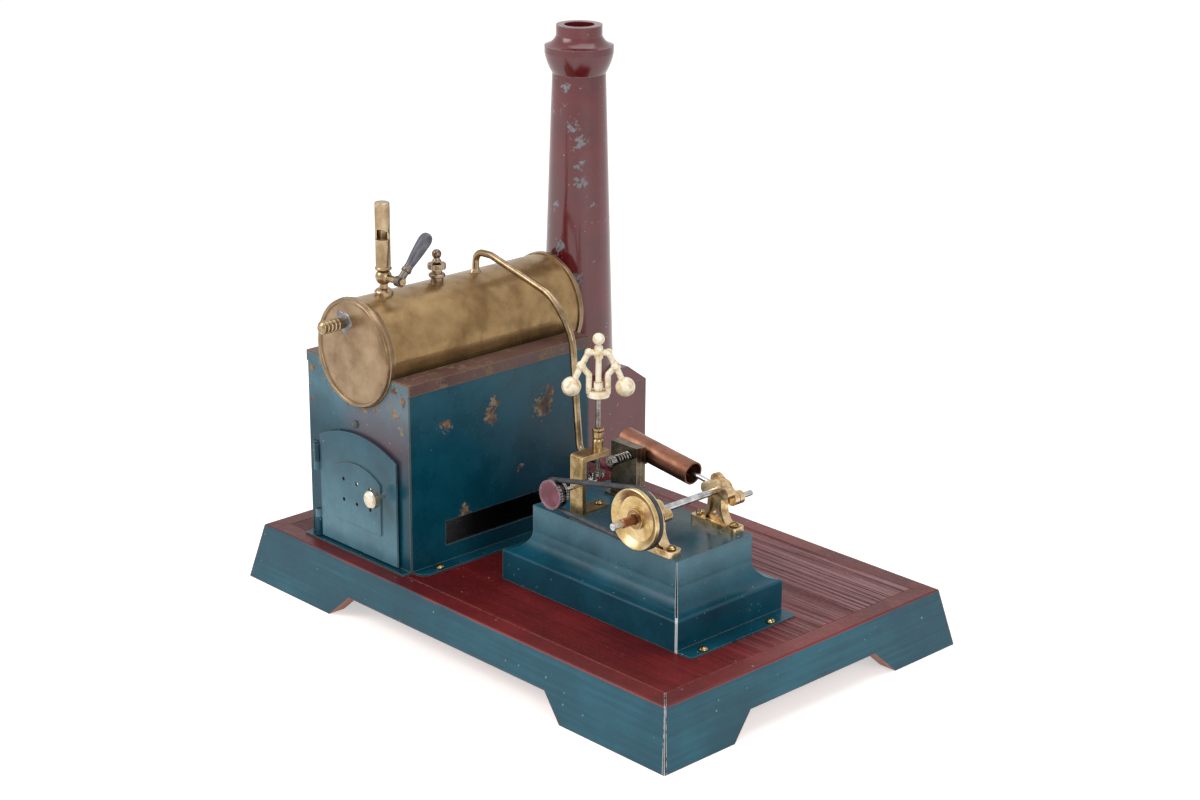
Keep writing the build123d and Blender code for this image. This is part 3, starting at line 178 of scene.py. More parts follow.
def stovedEnamel(look):
    material, tree, shader, coords = startMaterial(look["name"])
    cloud = addNode(tree, "TexNoise", {"Scale": 1 / (enamelGrain["cloud"] * mm), "Detail": 5,
                                       "Roughness": 0.62}, {"Vector": coords})
    stops = [(0.3, look["deep"]), (0.52, look["colour"]), (0.78, look["faded"])]
    ground = addNode(tree, "ValToRGB", {"stops": stops}, {"Fac": cloud})
    height = addNode(tree, "SeparateXYZ", links={"Vector": coords}, out="Z")
    coats = []
    if "heatTintAndShade" in look:  # a dark patch round one place: heat-turned paint under the boiler on the front wall, painted shade under the belt and shaft on the engine bed
        place, reach, darkPatchColour = look["heatTintAndShade"]
        near = nearMask(tree, coords, place, reach)
        darkPatchMask = addNode(tree, "Math", {"operation": "MULTIPLY"}, {0: near, 1: cloud})
        darkPatchMask = addNode(tree, "MapRange", {"From Min": 0.04, "From Max": 0.3}, {"Value": darkPatchMask})
        coats.append((darkPatchMask, darkPatchColour))
    if "sheenBand" in look:  # painted reflection: a pale haze for the white table's sheen on the upright faces at one height
        low, high, amount = look["sheenBand"]
        sheenMask = addNode(tree, "MapRange", {"From Min": low * mm, "From Max": high * mm, "To Max": amount},
                        {"Value": height})
        sheenMask = addNode(tree, "Math", {"operation": "MULTIPLY"}, {0: sheenMask, 1: cloud})
        facing = addNode(tree, "NewGeometry", out="Normal")
        facing = addNode(tree, "SeparateXYZ", links={"Vector": facing}, out="Z")
        steep = addNode(tree, "MapRange", {"From Min": 0.95, "From Max": 0.6, "To Min": 0.15},
                        {"Value": facing})
        sheenMask = addNode(tree, "Math", {"operation": "MULTIPLY"}, {0: sheenMask, 1: steep})
        coats.append((sheenMask, look["sheenColour"]))
    chipSize = look["chipSize"]
    chipNoise = addNode(tree, "TexNoise", {"Scale": 1 / (chipSize * mm), "Detail": 6, "Roughness": 0.7},
                        {"Vector": coords})
    patchSize = chipSize * enamelGrain["patchesPerChip"]
    patches = addNode(tree, "TexNoise", {"Scale": 1 / (patchSize * mm), "Detail": 2}, {"Vector": coords})
    worn = addNode(tree, "Math", {"operation": "MULTIPLY_ADD", 1: 0.55}, {0: patches, 2: chipNoise})
    edge = edgeMask(tree, look["wearWidth"])
    worn = addNode(tree, "Math", {"operation": "MULTIPLY_ADD", 1: look["edgeWear"]}, {0: edge, 2: worn})
    if "chipZone" in look:  # heat and knocks have taken more paint at this height
        low, high, gain = look["chipZone"]
        zone = addNode(tree, "MapRange", {"From Min": low * mm, "From Max": high * mm, "To Max": gain},
                       {"Value": height})
        worn = addNode(tree, "Math", {"operation": "ADD"}, {0: worn, 1: zone})
    start = look["chipStart"]
    chip = addNode(tree, "MapRange", {"From Min": start, "From Max": start + 0.05}, {"Value": worn})
    if "chipSpots" in look:  # flakes knocked off at places seen in the photograph
        knocked = spotMask(tree, coords, look["chipSpots"], enamelGrain["flakeHold"])
        chip = addNode(tree, "Math", {"operation": "MAXIMUM"}, {0: chip, 1: knocked})
    bare = addNode(tree, "Mix", {"data_type": "RGBA", 6: look["chip"], 7: look["chipDark"]},
                   {0: chipNoise}, 2)
    coats.append((chip, bare))
    marks = speckMask(tree, coords, *enamelGrain["dots"])
    for turn in enamelGrain["slants"]:
        scratches = scratchMask(tree, coords, turn, *enamelGrain["scratches"])
        marks = addNode(tree, "Math", {"operation": "MAXIMUM"}, {0: marks, 1: scratches})
    marks = addNode(tree, "Math", {"operation": "MULTIPLY", 1: enamelGrain["markStrength"]}, {0: marks})
    coats.append((marks, look["mark"]))
    if "rustSpots" in look:
        rusting = spotMask(tree, coords, look["rustSpots"], enamelGrain["rustHold"])
        rust = addNode(tree, "ValToRGB", {"stops": enamelGrain["rust"]}, {"Fac": chipNoise})
        coats.append((rusting, rust))
        chip = addNode(tree, "Math", {"operation": "MAXIMUM"}, {0: chip, 1: rusting})
    if "seam" in look:
        dark, pale = seamMasks(tree, coords, look["seam"])
        coats += [(pale, enamelGrain["seamRubbed"]), (dark, enamelGrain["seamOpen"])]
        chip = addNode(tree, "Math", {"operation": "MAXIMUM"}, {0: chip, 1: dark})
    gloss = look["gloss"]
    dull = addNode(tree, "MapRange", {"From Min": 0.3, "From Max": 0.75, "To Min": gloss - 0.06,
                                      "To Max": gloss + 0.12}, {"Value": cloud})
    rough = addNode(tree, "Math", {"operation": "MULTIPLY_ADD", 1: 0.3}, {0: chip, 2: dull})
    shader.inputs["Specular IOR Level"].default_value = look["shine"]
    dents = addNode(tree, "TexNoise", {"Scale": 1 / (enamelGrain["dents"] * mm), "Detail": 3},
                    {"Vector": coords})
    raised = addNode(tree, "Math", {"operation": "MULTIPLY_ADD", 1: -0.35}, {0: chip, 2: dents})
    bump = addNode(tree, "Bump", {"Strength": 0.3, "Distance": 0.5 * mm}, {"Height": raised})
    joinSurface(tree, shader, layCoats(tree, ground, coats), rough, bump)
    return material


# Oil-painted softwood: grain ridges telegraph through thin paint, arrises rub to bare wood, cut ends are raw
woodGrain = {"cloud": 40.0, "specks": 2.2, "dots": (4.0, 0.5), "dotStrength": 0.5,
             "cutWood": [(0.35, "#7a3f24"), (0.55, "#b8693c"), (0.75, "#cf8a55")],
             "seamFlaked": "#aeb2b2", "seamOpen": "#15110f", "fireboxFloorBlack": "#0c0a0a"}


def paintedWood(look):
    material, tree, shader, coords = startMaterial(look["name"])
    stretched = addNode(tree, "Mapping", {"Scale": [1 / (v * mm) for v in look["grain"]]}, {"Vector": coords})
    grain = addNode(tree, "TexNoise", {"Scale": 1.0, "Detail": 5, "Roughness": 0.65}, {"Vector": stretched})
    cloud = addNode(tree, "TexNoise", {"Scale": 1 / (woodGrain["cloud"] * mm), "Detail": 4},
                    {"Vector": coords})
    tone = addNode(tree, "Math", {"operation": "MULTIPLY_ADD", 1: 0.6}, {0: grain, 2: cloud})
    stops = [(0.5, look["deep"]), (0.8, look["colour"]), (1.0, look["faded"])]
    ground = addNode(tree, "ValToRGB", {"stops": stops}, {"Fac": tone})
    place = addNode(tree, "SeparateXYZ", links={"Vector": coords}, out=None)
    facing = addNode(tree, "NewGeometry", out="Normal")
    facing = addNode(tree, "SeparateXYZ", links={"Vector": facing}, out="Z")
    specks = addNode(tree, "TexNoise", {"Scale": 1 / (woodGrain["specks"] * mm), "Detail": 3,
                                        "Roughness": 0.75}, {"Vector": coords})
    coats = []
    if "top" in look:  # the board's red was carried over the skirts' top edge by brush
        red = addNode(tree, "ValToRGB", {"stops": list(zip((0.5, 0.8, 1.0), look["top"]))}, {"Fac": tone})
        drift = addNode(tree, "Math", {"operation": "MULTIPLY_ADD", 1: 0.5}, {0: cloud, 2: facing})
        upper = addNode(tree, "MapRange", {"From Min": 0.86, "From Max": 0.94}, {"Value": drift})
        # a brighter red band on the top arris: paint rubbed thin there, and a painted highlight where the
        # rounded edge catches the light
        start, end, rubbedRedHighlight = look["arris"]
        arris = addNode(tree, "MapRange", {"From Min": start * mm, "From Max": end * mm},
                        {"Value": place["Z"]})
        torn = addNode(tree, "MapRange", {"From Min": 0.4, "From Max": 0.52}, {"Value": cloud})
        arris = addNode(tree, "Math", {"operation": "MULTIPLY"}, {0: arris, 1: torn})
        arris = addNode(tree, "Math", {"operation": "MULTIPLY_ADD", 1: -1, "use_clamp": True},
                        {0: upper, 2: arris})
        coats += [(upper, red), (arris, rubbedRedHighlight)]
    # the far end has lost its gloss and shows its ridges pale
    start, end, pale = look["weather"]
    far = addNode(tree, "Math", {"operation": "MULTIPLY_ADD", 1: 0.55}, {0: place["X"], 2: place["Y"]})
    ridges = addNode(tree, "MapRange", {"From Min": start * mm, "From Max": end * mm}, {"Value": far})
    streak = addNode(tree, "MapRange", {"From Min": 0.45, "From Max": 0.58}, {"Value": grain})
    up = addNode(tree, "MapRange", {"From Min": 0.7, "From Max": 0.9}, {"Value": facing})
    paling = addNode(tree, "Math", {"operation": "MULTIPLY"}, {0: ridges, 1: streak})
    paling = addNode(tree, "Math", {"operation": "MULTIPLY"}, {0: paling, 1: up})
    dots = speckMask(tree, coords, *woodGrain["dots"])
    dots = addNode(tree, "Math", {"operation": "MULTIPLY", 1: woodGrain["dotStrength"]}, {0: dots})
    edge = edgeMask(tree, look["wearWidth"])
    worn = addNode(tree, "Math", {"operation": "MULTIPLY_ADD", 1: look["edgeWear"]}, {0: edge, 2: specks})
    start = look["wearStart"]
    rubbed = addNode(tree, "MapRange", {"From Min": start, "From Max": start + 0.12}, {"Value": worn})
    raw = addNode(tree, "Mix", {"data_type": "RGBA", 6: look["bare"], 7: look["bareDark"]}, {0: specks}, 2)
    under = addNode(tree, "MapRange", {"From Min": -0.35, "From Max": -0.5}, {"Value": facing})
    cutWood = addNode(tree, "ValToRGB", {"stops": woodGrain["cutWood"]}, {"Fac": grain})
    coats += [(paling, pale), (dots, look["mark"]), (rubbed, raw), (under, cutWood)]
    if "seam" in look:
        dark, flaked = seamMasks(tree, coords, look["seam"])
        torn = addNode(tree, "MapRange", {"From Min": 0.42, "From Max": 0.5}, {"Value": specks})
        flaked = addNode(tree, "Math", {"operation": "MULTIPLY"}, {0: flaked, 1: torn})
        coats += [(flaked, woodGrain["seamFlaked"]), (dark, woodGrain["seamOpen"])]
    if "fireboxFloor" in look:  # black inside the firebox
        within = []
        for axis, (centre, half) in zip("XY", look["fireboxFloor"]):
            off = addNode(tree, "Math", {"operation": "SUBTRACT", 1: centre * mm}, {0: place[axis]})
            off = addNode(tree, "Math", {"operation": "ABSOLUTE"}, {0: off})
            within.append(addNode(tree, "Math", {"operation": "LESS_THAN", 1: half * mm}, {0: off}))
        fireboxFloorMask = addNode(tree, "Math", {"operation": "MULTIPLY"}, {0: within[0], 1: within[1]})
        coats.append((fireboxFloorMask, woodGrain["fireboxFloorBlack"]))
    rough = addNode(tree, "MapRange", {"From Min": 0.3, "From Max": 0.75, "To Min": look["gloss"],
                                       "To Max": look["gloss"] + 0.2}, {"Value": specks})
    shader.inputs["Specular IOR Level"].default_value = look["shine"]
    relief = addNode(tree, "MapRange", {"To Min": look["relief"] * 0.35, "To Max": look["relief"]},
                     {"Value": ridges})
    bump = addNode(tree, "Bump", {"Distance": 0.6 * mm}, {"Height": grain, "Strength": relief})
    joinSurface(tree, shader, layCoats(tree, ground, coats), rough, bump)
    return material


# Bare metal, long handled: bright where rubbed, browned in patches, with fine marks one way
metalGrain = {"pits": (5.0, 0.7), "pitStrength": 0.5, "oilEdge": 0.3, "rubWidth": 0.4}


def agedMetal(look):
    material, tree, shader, coords = startMaterial(look["name"])
    patch = addNode(tree, "TexNoise", {"Scale": 1 / (look["patch"] * mm), "Detail": 6, "Roughness": 0.6},
                    {"Vector": coords})
    stretched = addNode(tree, "Mapping", {"Scale": [1 / (v * mm) for v in look["marks"]]}, {"Vector": coords})
    marks = addNode(tree, "TexNoise", {"Scale": 1.0, "Detail": 4, "Roughness": 0.6}, {"Vector": stretched})
    tone = addNode(tree, "Math", {"operation": "MULTIPLY_ADD", 1: look["markTone"]}, {0: marks, 2: patch})
    shift = 0.5 * look["markTone"]
    stops = [(0.3 + shift, look["tarnish"]), (0.5 + shift, look["colour"]), (0.7 + shift, look["bright"])]
    ground = addNode(tree, "ValToRGB", {"stops": stops}, {"Fac": tone})
    coats = []
    if "stains" in look:  # dark water marks and pits
        blots = addNode(tree, "TexNoise", {"Scale": 1 / (look["stains"] * mm), "Detail": 7, "Roughness": 0.55,
                                           "Distortion": 0.8}, {"Vector": coords})
        blots = addNode(tree, "MapRange", {"From Min": 0.56, "From Max": 0.7, "To Max": look["blot"]},
                        {"Value": blots})
        pits = speckMask(tree, coords, *metalGrain["pits"])
        pits = addNode(tree, "Math", {"operation": "MULTIPLY", 1: metalGrain["pitStrength"]}, {0: pits})
        coats += [(blots, look["tarnish"]), (pits, look["tarnish"])]
    if "hub" in look:  # oil and dirt round the shaft
        (x, z), radius = look["hub"]
        flat = addNode(tree, "VectorMath", {"operation": "MULTIPLY", 1: (1, 0, 1)}, {0: coords})
        shaft = (x * mm, 0, z * mm)
        far = addNode(tree, "VectorMath", {"operation": "DISTANCE", 1: shaft}, {0: flat}, "Value")
        inner = (radius - metalGrain["oilEdge"]) * mm
        oily = addNode(tree, "MapRange", {"From Min": radius * mm, "From Max": inner}, {"Value": far})
        coats.append((oily, look["oil"]))
    if "grimeShadeReach" in look:  # dark corners: polish and oil that have stayed there, and painted shade in the same hollows
        hollow = addNode(tree, "AmbientOcclusion", {"samples": 8, "Distance": look["grimeShadeReach"] * mm,
                                                    "only_local": True}, out="AO")
        grimeShadeMask = addNode(tree, "MapRange", {"From Min": 0.85, "From Max": 0.25}, {"Value": hollow})
        coats.append((grimeShadeMask, look["grimeShadeColour"]))
    if "rubbed" in look:  # handling has polished the arrises
        coats.append((edgeMask(tree, metalGrain["rubWidth"]), look["rubbed"]))
    shader.inputs["Metallic"].default_value = look.get("metallic", 1.0)
    rough = addNode(tree, "MapRange", {"From Min": 0.3, "From Max": 0.7, "To Min": look["rough"] + 0.12,
                                       "To Max": look["rough"] - 0.06}, {"Value": tone})
    bump = addNode(tree, "Bump", {"Strength": look["relief"], "Distance": 0.15 * mm}, {"Height": marks})
    joinSurface(tree, shader, layCoats(tree, ground, coats), rough, bump)
    return material


# Rubber, fibre, wheel enamel and ebonised wood: a fine grain and rubbed arrises, without the shine of metal
softRub = 0.5  # width of a rubbed arris


def softStuff(look):
    material, tree, shader, coords = startMaterial(look["name"])
    stretched = addNode(tree, "Mapping", {"Scale": [1 / (v * mm) for v in look["grain"]]}, {"Vector": coords})
    grain = addNode(tree, "TexNoise", {"Scale": 1.0, "Detail": 4}, {"Vector": stretched})
    stops = [(0.32, look["deep"]), (0.5, look["colour"]), (0.7, look["faded"])]
    ground = addNode(tree, "ValToRGB", {"stops": stops}, {"Fac": grain})
    edge = edgeMask(tree, softRub)
    edge = addNode(tree, "Math", {"operation": "MULTIPLY"}, {0: edge, 1: grain})
    colour = layCoats(tree, ground, [(edge, look["rubbed"])])
    tree.links.new(colour, shader.inputs["Base Color"])
    shader.inputs["Roughness"].default_value = look["rough"]
    bump = addNode(tree, "Bump", {"Strength": 0.3, "Distance": 0.1 * mm}, {"Height": grain})
    tree.links.new(bump, shader.inputs["Normal"])
    return material


# Sizes and places in the looks are in mm, places in the CAD frame
blueTin = {"name": "blueStovedEnamelTin", "colour": "#054253", "deep": "#043544", "faded": "#0f5164",
           "chip": "#848d90", "chipDark": "#3c3a38", "mark": "#9fb4ba", "sheenColour": "#85b5c4", "wearWidth": 0.7,
           "edgeWear": 0.42, "chipSize": 5.0, "chipStart": 1.02, "gloss": 0.24, "shine": 0.24}
# the pale haze colour and each look's band of heights are painted reflection: the white table's sheen on
# upright faces
doorTin = {**blueTin, "name": "paintedSheenBlueEnamelTin", "sheenBand": (90, 30, 0.85)}
# the bed's dark patch under the belt and shaft is painted shade
bedTin = {**blueTin, "name": "blueEnamelBedTin", "sheenBand": (40, 58, 0.62),
          "heatTintAndShade": ((52, -8, 63), 30, "#1c2f33"),
          "seam": {"sum": 52.0, "height": (60.4, 40.2), "slit": (0.12, 0.6), "rub": 0.22, "from": 86.0}}
frontTin = {**blueTin, "name": "scorchedBlueEnamelTin", "heatTintAndShade": ((-56, -73, 92), 34, "#4f3d47"),
            "edgeWear": 0.5, "chip": "#a39c86", "sheenBand": (80, 100, 0.55),
            "chipSpots": [((-99, -73, 110), 6), ((-96, -73, 103), 6), ((-91, -73, 98), 5),
                          ((-52, -73, 101), 6), ((-45, -73, 110), 7), ((-40, -73, 112), 6),
                          ((-40, -73, 104), 5), ((-107, -73, 98), 5)],
            "rustSpots": [((-47, -73, 108), 6), ((-41, -73, 105), 7), ((-46, -73, 98), 7),
                          ((-43, -73, 91), 5), ((-60, -73, 98), 7), ((-68, -73, 96), 7),
                          ((-79, -73, 96), 5), ((-105, -73, 105), 6), ((-107, -73, 90), 5)]}
rightTin = {**blueTin, "name": "rustedBlueEnamelTin", "sheenBand": (80, 112, 0.16),
            "rustSpots": [((-38, -26.4, 89), 11), ((-38, 5.5, 86.3), 14), ((-38, 9, 92), 8),
                          ((-38, -24, 95), 7), ((-38, -41.6, 47.4), 9), ((-38, -52, 90), 8),
                          ((-38, -8.6, 60), 4)]}
maroonTin = {"name": "maroonStovedEnamelTin", "colour": "#661a21", "deep": "#521319", "faded": "#72282f",
             "chip": "#8d949c", "chipDark": "#5d5b5d", "mark": "#b3aaac", "wearWidth": 0.7, "edgeWear": 0.3,
             "chipSize": 4.6, "chipStart": 0.99, "gloss": 0.2, "shine": 0.7}
stackTin = {**maroonTin, "name": "chippedMaroonStackTin", "chipZone": (130, 205, 0.05), "chipStart": 0.97,
            "gloss": 0.14,
            "chipSpots": [((-69, 48, 221), 7), ((-61, 51, 220), 6), ((-66, 50, 203), 9),
                          ((-63, 51, 196), 11), ((-58, 53, 199), 6), ((-62, 50, 185), 9),
                          ((-62, 51, 177), 10), ((-57, 54, 168), 9), ((-72, 46, 166), 8),
                          ((-70, 46, 146), 10), ((-62, 50, 131), 9), ((-66, 48, 124), 8),
                          ((-56, 55, 140), 7)]}
railTin = {**maroonTin, "name": "brownedEnamelTin", "colour": "#5a3f3b", "deep": "#472e2b",
           "faded": "#6b5048", "chip": "#97805f", "chipDark": "#5e4334", "chipSize": 2.0, "chipStart": 0.84,
           "gloss": 0.36, "shine": 0.4}
# Thin oil paint on softwood: red on the board, blue on the skirts, dull where it has weathered
boardPaint = {"name": "redPaintedSoftwood", "colour": "#540d0e", "deep": "#3d090b", "faded": "#6d1a1a",
              "grain": (90, 1.5, 1.5), "weather": (30, 115, "#92696c"),
              "fireboxFloor": ((-73, 34.4), (-19.5, 52.9)), "wearWidth": 0.9, "edgeWear": 0.36, "wearStart": 0.66,
              "bare": "#9a7a74", "bareDark": "#6b3a36", "mark": "#b09a90", "gloss": 0.36, "shine": 0.2,
              "relief": 1.0}
# the skirts' bright arris red is rubbed paint with a painted highlight on the rounded top edge
skirtPaint = {"name": "bluePaintedSoftwood", "colour": "#0e4a5b", "deep": "#0a3b49", "faded": "#1c5b6c",
              "grain": (70, 70, 2.0), "top": ("#440a0c", "#5c1112", "#701d1c"),
              "arris": (25.0, 25.6, "#9a2c1f"), "weather": (60, 125, "#7d3a33"), "mark": "#9fb0b4",
              "wearWidth": 0.9, "edgeWear": 0.3, "wearStart": 0.72, "bare": "#c2603a",
              "bareDark": "#5b2a20", "gloss": 0.32, "shine": 0.38, "relief": 0.3,
              "seam": {"sum": 45.5, "height": (26.5, -1.0), "slit": (0.2, 1.0), "rub": 0.4, "from": 110.0}}
# Rolled boiler brass: a broad satin glow clouded brown by heat; the pressed caps are duller with bright rims
boilerBrass = {"name": "tarnishedBoilerBrass", "colour": "#96784f", "bright": "#a4875d",
               "tarnish": "#7a5f3b", "patch": 18, "marks": (9, 9, 9), "markTone": 0.4, "rough": 0.33,
               "relief": 0.06, "stains": 24, "blot": 0.4, "metallic": 0.66}
capBrass = {**boilerBrass, "name": "pressedCapBrass", "colour": "#8f7558", "bright": "#a0876a",
            "tarnish": "#755c3f", "patch": 12, "rough": 0.34, "rubbed": "#d6bd97"}
# Cast and turned engine brass: yellow and pale where rubbed, nearly black in its corners from dirt and
# painted shade
castBrass = {"name": "castBrass", "colour": "#cdb086", "bright": "#e4cda7", "tarnish": "#8a6c42",
             "patch": 5, "marks": (1.5, 1.5, 1.5), "markTone": 0.4, "rough": 0.34, "relief": 0.35,
             "grimeShadeReach": 1.6, "grimeShadeColour": "#54401f", "rubbed": "#e2cda2"}
pulleyBrass = {"name": "turnedYellowBrass", "colour": "#c6aa77", "bright": "#dfcaa2", "tarnish": "#a88855",
               "patch": 6, "marks": (2.5, 2.5, 0.5), "markTone": 0.3, "rough": 0.38, "relief": 0.2,
               "grimeShadeReach": 1.2, "grimeShadeColour": "#7a5c30", "hub": ((72.6, 76.8), 4.6), "oil": "#94714a",
               "rubbed": "#f2e6c6"}
# Turned fittings: a brown film over a smooth sheen, near bronze on the lever, worn nickel on the knob, dark
# in their corners from dirt and painted shade
fittingBrass = {"name": "agedTurnedBrass", "colour": "#9a8466", "bright": "#b8a487", "tarnish": "#715b3d",
                "patch": 8, "marks": (6, 6, 1.2), "markTone": 0.25, "rough": 0.32, "relief": 0.1,
                "grimeShadeReach": 1.0, "grimeShadeColour": "#4d3c20", "rubbed": "#cbb894"}
leverBronze = {**fittingBrass, "name": "dullLeverBronze", "colour": "#5f5650", "bright": "#80766d",
               "tarnish": "#42392f", "rough": 0.44, "rubbed": "#8f867d"}
whistleBrass = {**fittingBrass, "name": "paleTurnedBrass", "colour": "#a48d70", "bright": "#baa68a",
                "tarnish": "#87704f", "marks": (6, 6, 9), "rough": 0.3, "grimeShadeReach": 0.6}
valveBrass = {**fittingBrass, "name": "brownedTurnedBrass", "colour": "#85705f", "bright": "#b09f8e",
              "tarnish": "#4d3d32", "rough": 0.26}
yokeBrass = {**castBrass, "name": "bentYokeBrass", "colour": "#9e845c", "bright": "#bba27a",
             "tarnish": "#715a35"}
knobPlate = {**fittingBrass, "name": "wornNickelOnBrass", "colour": "#cbbfae", "bright": "#e6ded2",
             "tarnish": "#8f7b5c"}
darkBrass = {"name": "oiledDarkBrass", "colour": "#665c4c", "bright": "#877b66", "tarnish": "#3d362c",
             "patch": 5, "marks": (4, 4, 1), "markTone": 0.4, "rough": 0.36, "relief": 0.3,
             "rubbed": "#c4b9a4"}
pipeBrass = {"name": "brownedPipeBrass", "colour": "#8f7a5e", "bright": "#ad977a", "tarnish": "#6b563a",
             "patch": 12, "marks": (6, 6, 6), "markTone": 0.3, "rough": 0.3, "relief": 0.1}
# Drawn steel: grey with bright lines along the rod, darker where it holds oil
bareSteel = {"name": "drawnBareSteel", "colour": "#b9b8ba", "bright": "#dcdcde", "tarnish": "#8d8988",
             "patch": 4, "marks": (8, 8, 0.6), "markTone": 0.4, "rough": 0.28, "relief": 0.25}
darkSteel = {**bareSteel, "name": "oiledDarkSteel", "colour": "#746e68", "bright": "#a8a29b",
             "tarnish": "#433d38", "rubbed": "#cfcac4"}
# Drawn copper tube: dull red brown with water marks
drawnCopper = {"name": "agedDrawnCopper", "colour": "#895e4c", "bright": "#a07560", "tarnish": "#6f4a3b",
               "patch": 12, "marks": (40, 3, 3), "markTone": 0.25, "rough": 0.42, "relief": 0.08,
               "stains": 14, "blot": 0.4}
# Gilt lacquer on a soft casting: cream and hardly metallic, yellow brown in its hollows from dirt and painted
# shade
giltMetal = {"name": "creamGiltCasting", "colour": "#f6ead0", "bright": "#fcf5e6", "tarnish": "#d0aa68",
             "patch": 3, "marks": (2, 2, 2), "markTone": 0.4, "rough": 0.4, "relief": 0.3, "grimeShadeReach": 1.4,
             "grimeShadeColour": "#8a6434", "metallic": 0.12, "stains": 5, "blot": 0.7}
# Dark dull stuff, paler at the arrises: belt rubber, wheel enamel, ebonised wood and fibre
beltRubber = {"name": "perishedBeltRubber", "colour": "#2f3136", "deep": "#222327", "faded": "#45484d",
              "grain": (3, 3, 3), "rubbed": "#5d6065", "rough": 0.5}
wheelPaint = {"name": "maroonWheelEnamel", "colour": "#6c2a3c", "deep": "#541c2b", "faded": "#7f3f52",
              "grain": (5, 5, 5), "rubbed": "#d8d2d2", "rough": 0.4}
handleWood = {"name": "ebonisedHandleWood", "colour": "#4d4b54", "deep": "#35333a", "faded": "#6f6c76",
              "grain": (1.2, 9, 9), "rubbed": "#77757e", "rough": 0.42}
redFibre = {"name": "redFibreWasher", "colour": "#5d2029", "deep": "#43141c", "faded": "#7a3540",
            "grain": (1.5, 1.5, 1.5), "rubbed": "#8d4a52", "rough": 0.5}

finishes = [
    (stovedEnamel(frontTin), ["firebox_front_wall"]),
    (stovedEnamel(rightTin), ["firebox_right_wall"]),
    (stovedEnamel(blueTin), ["firebox_back_wall", "firebox_left_wall", "door_hinge_straps"]),
    (stovedEnamel(doorTin), ["firebox_door"]),
    (stovedEnamel(bedTin), ["engine_bed"]),
    (stovedEnamel(stackTin), ["chimney_stack"]),
    (stovedEnamel(maroonTin), ["chimney_pedestal", "chimney_cap"]),
    (stovedEnamel(railTin), ["firebox_right_rail", "firebox_left_rail"]),
    (paintedWood(boardPaint), ["base_board"]),
    (paintedWood(skirtPaint), ["skirt_front", "skirt_right", "skirt_back", "skirt_left"]),
    (agedMetal(boilerBrass), ["boiler_shell"]),
    (agedMetal(capBrass), ["boiler_front_cap", "boiler_back_cap"]),
    (agedMetal(fittingBrass), ["boiler_stud"]),
    (agedMetal(whistleBrass), ["whistle"]),
    (agedMetal(valveBrass), ["safety_valve"]),
    (agedMetal(leverBronze), ["whistle_lever"]),
    (agedMetal(knobPlate), ["door_knob"]),
    (agedMetal(castBrass), ["front_bearing", "back_bearing", "crank", "big_end"]),
    (agedMetal(yokeBrass), ["governor_yoke", "governor_bush"]),
    (agedMetal(pulleyBrass), ["drive_pulley"]),
    (agedMetal(pipeBrass), ["steam_pipe"]),
    (agedMetal(darkBrass), ["port_plate", "port_block"]),
    (agedMetal(bareSteel), ["crankshaft", "governor_pulley_shaft", "piston", "crank_pin", "cylinder_end"]),
    (agedMetal(darkSteel), ["door_hinge_pins", "governor_spindle", "pivot_stud", "pivot_spring",
                            "pivot_nut"]),
    (agedMetal(drawnCopper), ["cylinder_tube", "shaft_sleeve"]),
    (agedMetal(giltMetal), ["governor_head"]),
    (softStuff(beltRubber), ["drive_belt"]),
    (softStuff(wheelPaint), ["governor_pulley"]),
    (softStuff(handleWood), ["whistle_handle"]),
    (softStuff(redFibre), ["pipe_union"]),
]
finishByNode = {}
for material, nodeNames in finishes:
    for nodeName in nodeNames:
        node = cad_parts[nodeName]
        node.data.materials.clear()
        node.data.materials.append(material)
        finishByNode[nodeName] = material
print("finishes on", len(finishByNode), "nodes, missing:", sorted(set(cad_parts) - set(finishByNode)))


def pickFaces(piece, test):
    bpy.ops.mesh.select_mode(type="FACE")
    bpy.ops.mesh.select_all(action="DESELECT")
    bpy.ops.object.mode_set(mode="OBJECT")
    for face in piece.data.polygons:
        face.select = test(face.center, face.normal)
    bpy.ops.object.mode_set(mode="EDIT")


def pickPoints(piece, test):
    bpy.ops.mesh.select_mode(type="VERT")
    bpy.ops.mesh.select_all(action="DESELECT")
    bpy.ops.object.mode_set(mode="OBJECT")
    for vertex in piece.data.vertices:
        vertex.select = test(vertex.co)
    bpy.ops.object.mode_set(mode="EDIT")


def finishPiece(piece, name, body, material, angle=35):
    bpy.ops.object.mode_set(mode="OBJECT")
    piece.name = piece.data.name = name
    piece.data.materials.clear()
    piece.data.materials.append(material)
    bpy.ops.object.transform_apply(location=True, rotation=True, scale=True)
    bpy.ops.object.shade_smooth_by_angle(angle=math.radians(angle))
    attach(piece, body)
    bpy.ops.object.select_all(action="DESELECT")


def joinPieces(pieces):
    bpy.ops.object.select_all(action="DESELECT")
    for piece in pieces:
        piece.select_set(True)
    bpy.context.view_layer.objects.active = pieces[0]
    if len(pieces) > 1:
        bpy.ops.object.join()
    return pieces[0]


def corner(nodeName, high):
    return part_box(nodeName)[1 if high else 0] / mm


def middle(nodeName):
    return (corner(nodeName, False) + corner(nodeName, True)) / 2


def lean(axis):
    return Vector((0, 0, 1)).rotation_difference(Vector(axis)).to_matrix().to_4x4()


upright = (0, 0, 1)
backward = (0, 1, 0)  # into the picture, away from the boiler's front
frontward = (0, -1, 0)
sideward = (1, 0, 0)

# Round heads, with a screwdriver slot or plain for a pin, modelled once and copied to each place
screwHead = {"radius": 2.1, "height": 1.2, "slotWidth": 0.55, "slotDepth": 0.5}
pinHead = {"radius": 0.9, "height": 0.55, "flange": 0.25, "spread": 1.12}
# the screw heads darken in their slots from dirt and painted shade
screwBrass = {"name": "wornScrewBrass", "colour": "#a08556", "bright": "#c6b084", "tarnish": "#5d4a2a",
              "patch": 2, "marks": (1, 1, 1), "markTone": 0.3, "rough": 0.32, "relief": 0.3, "grimeShadeReach": 0.8,
              "grimeShadeColour": "#2f2412"}


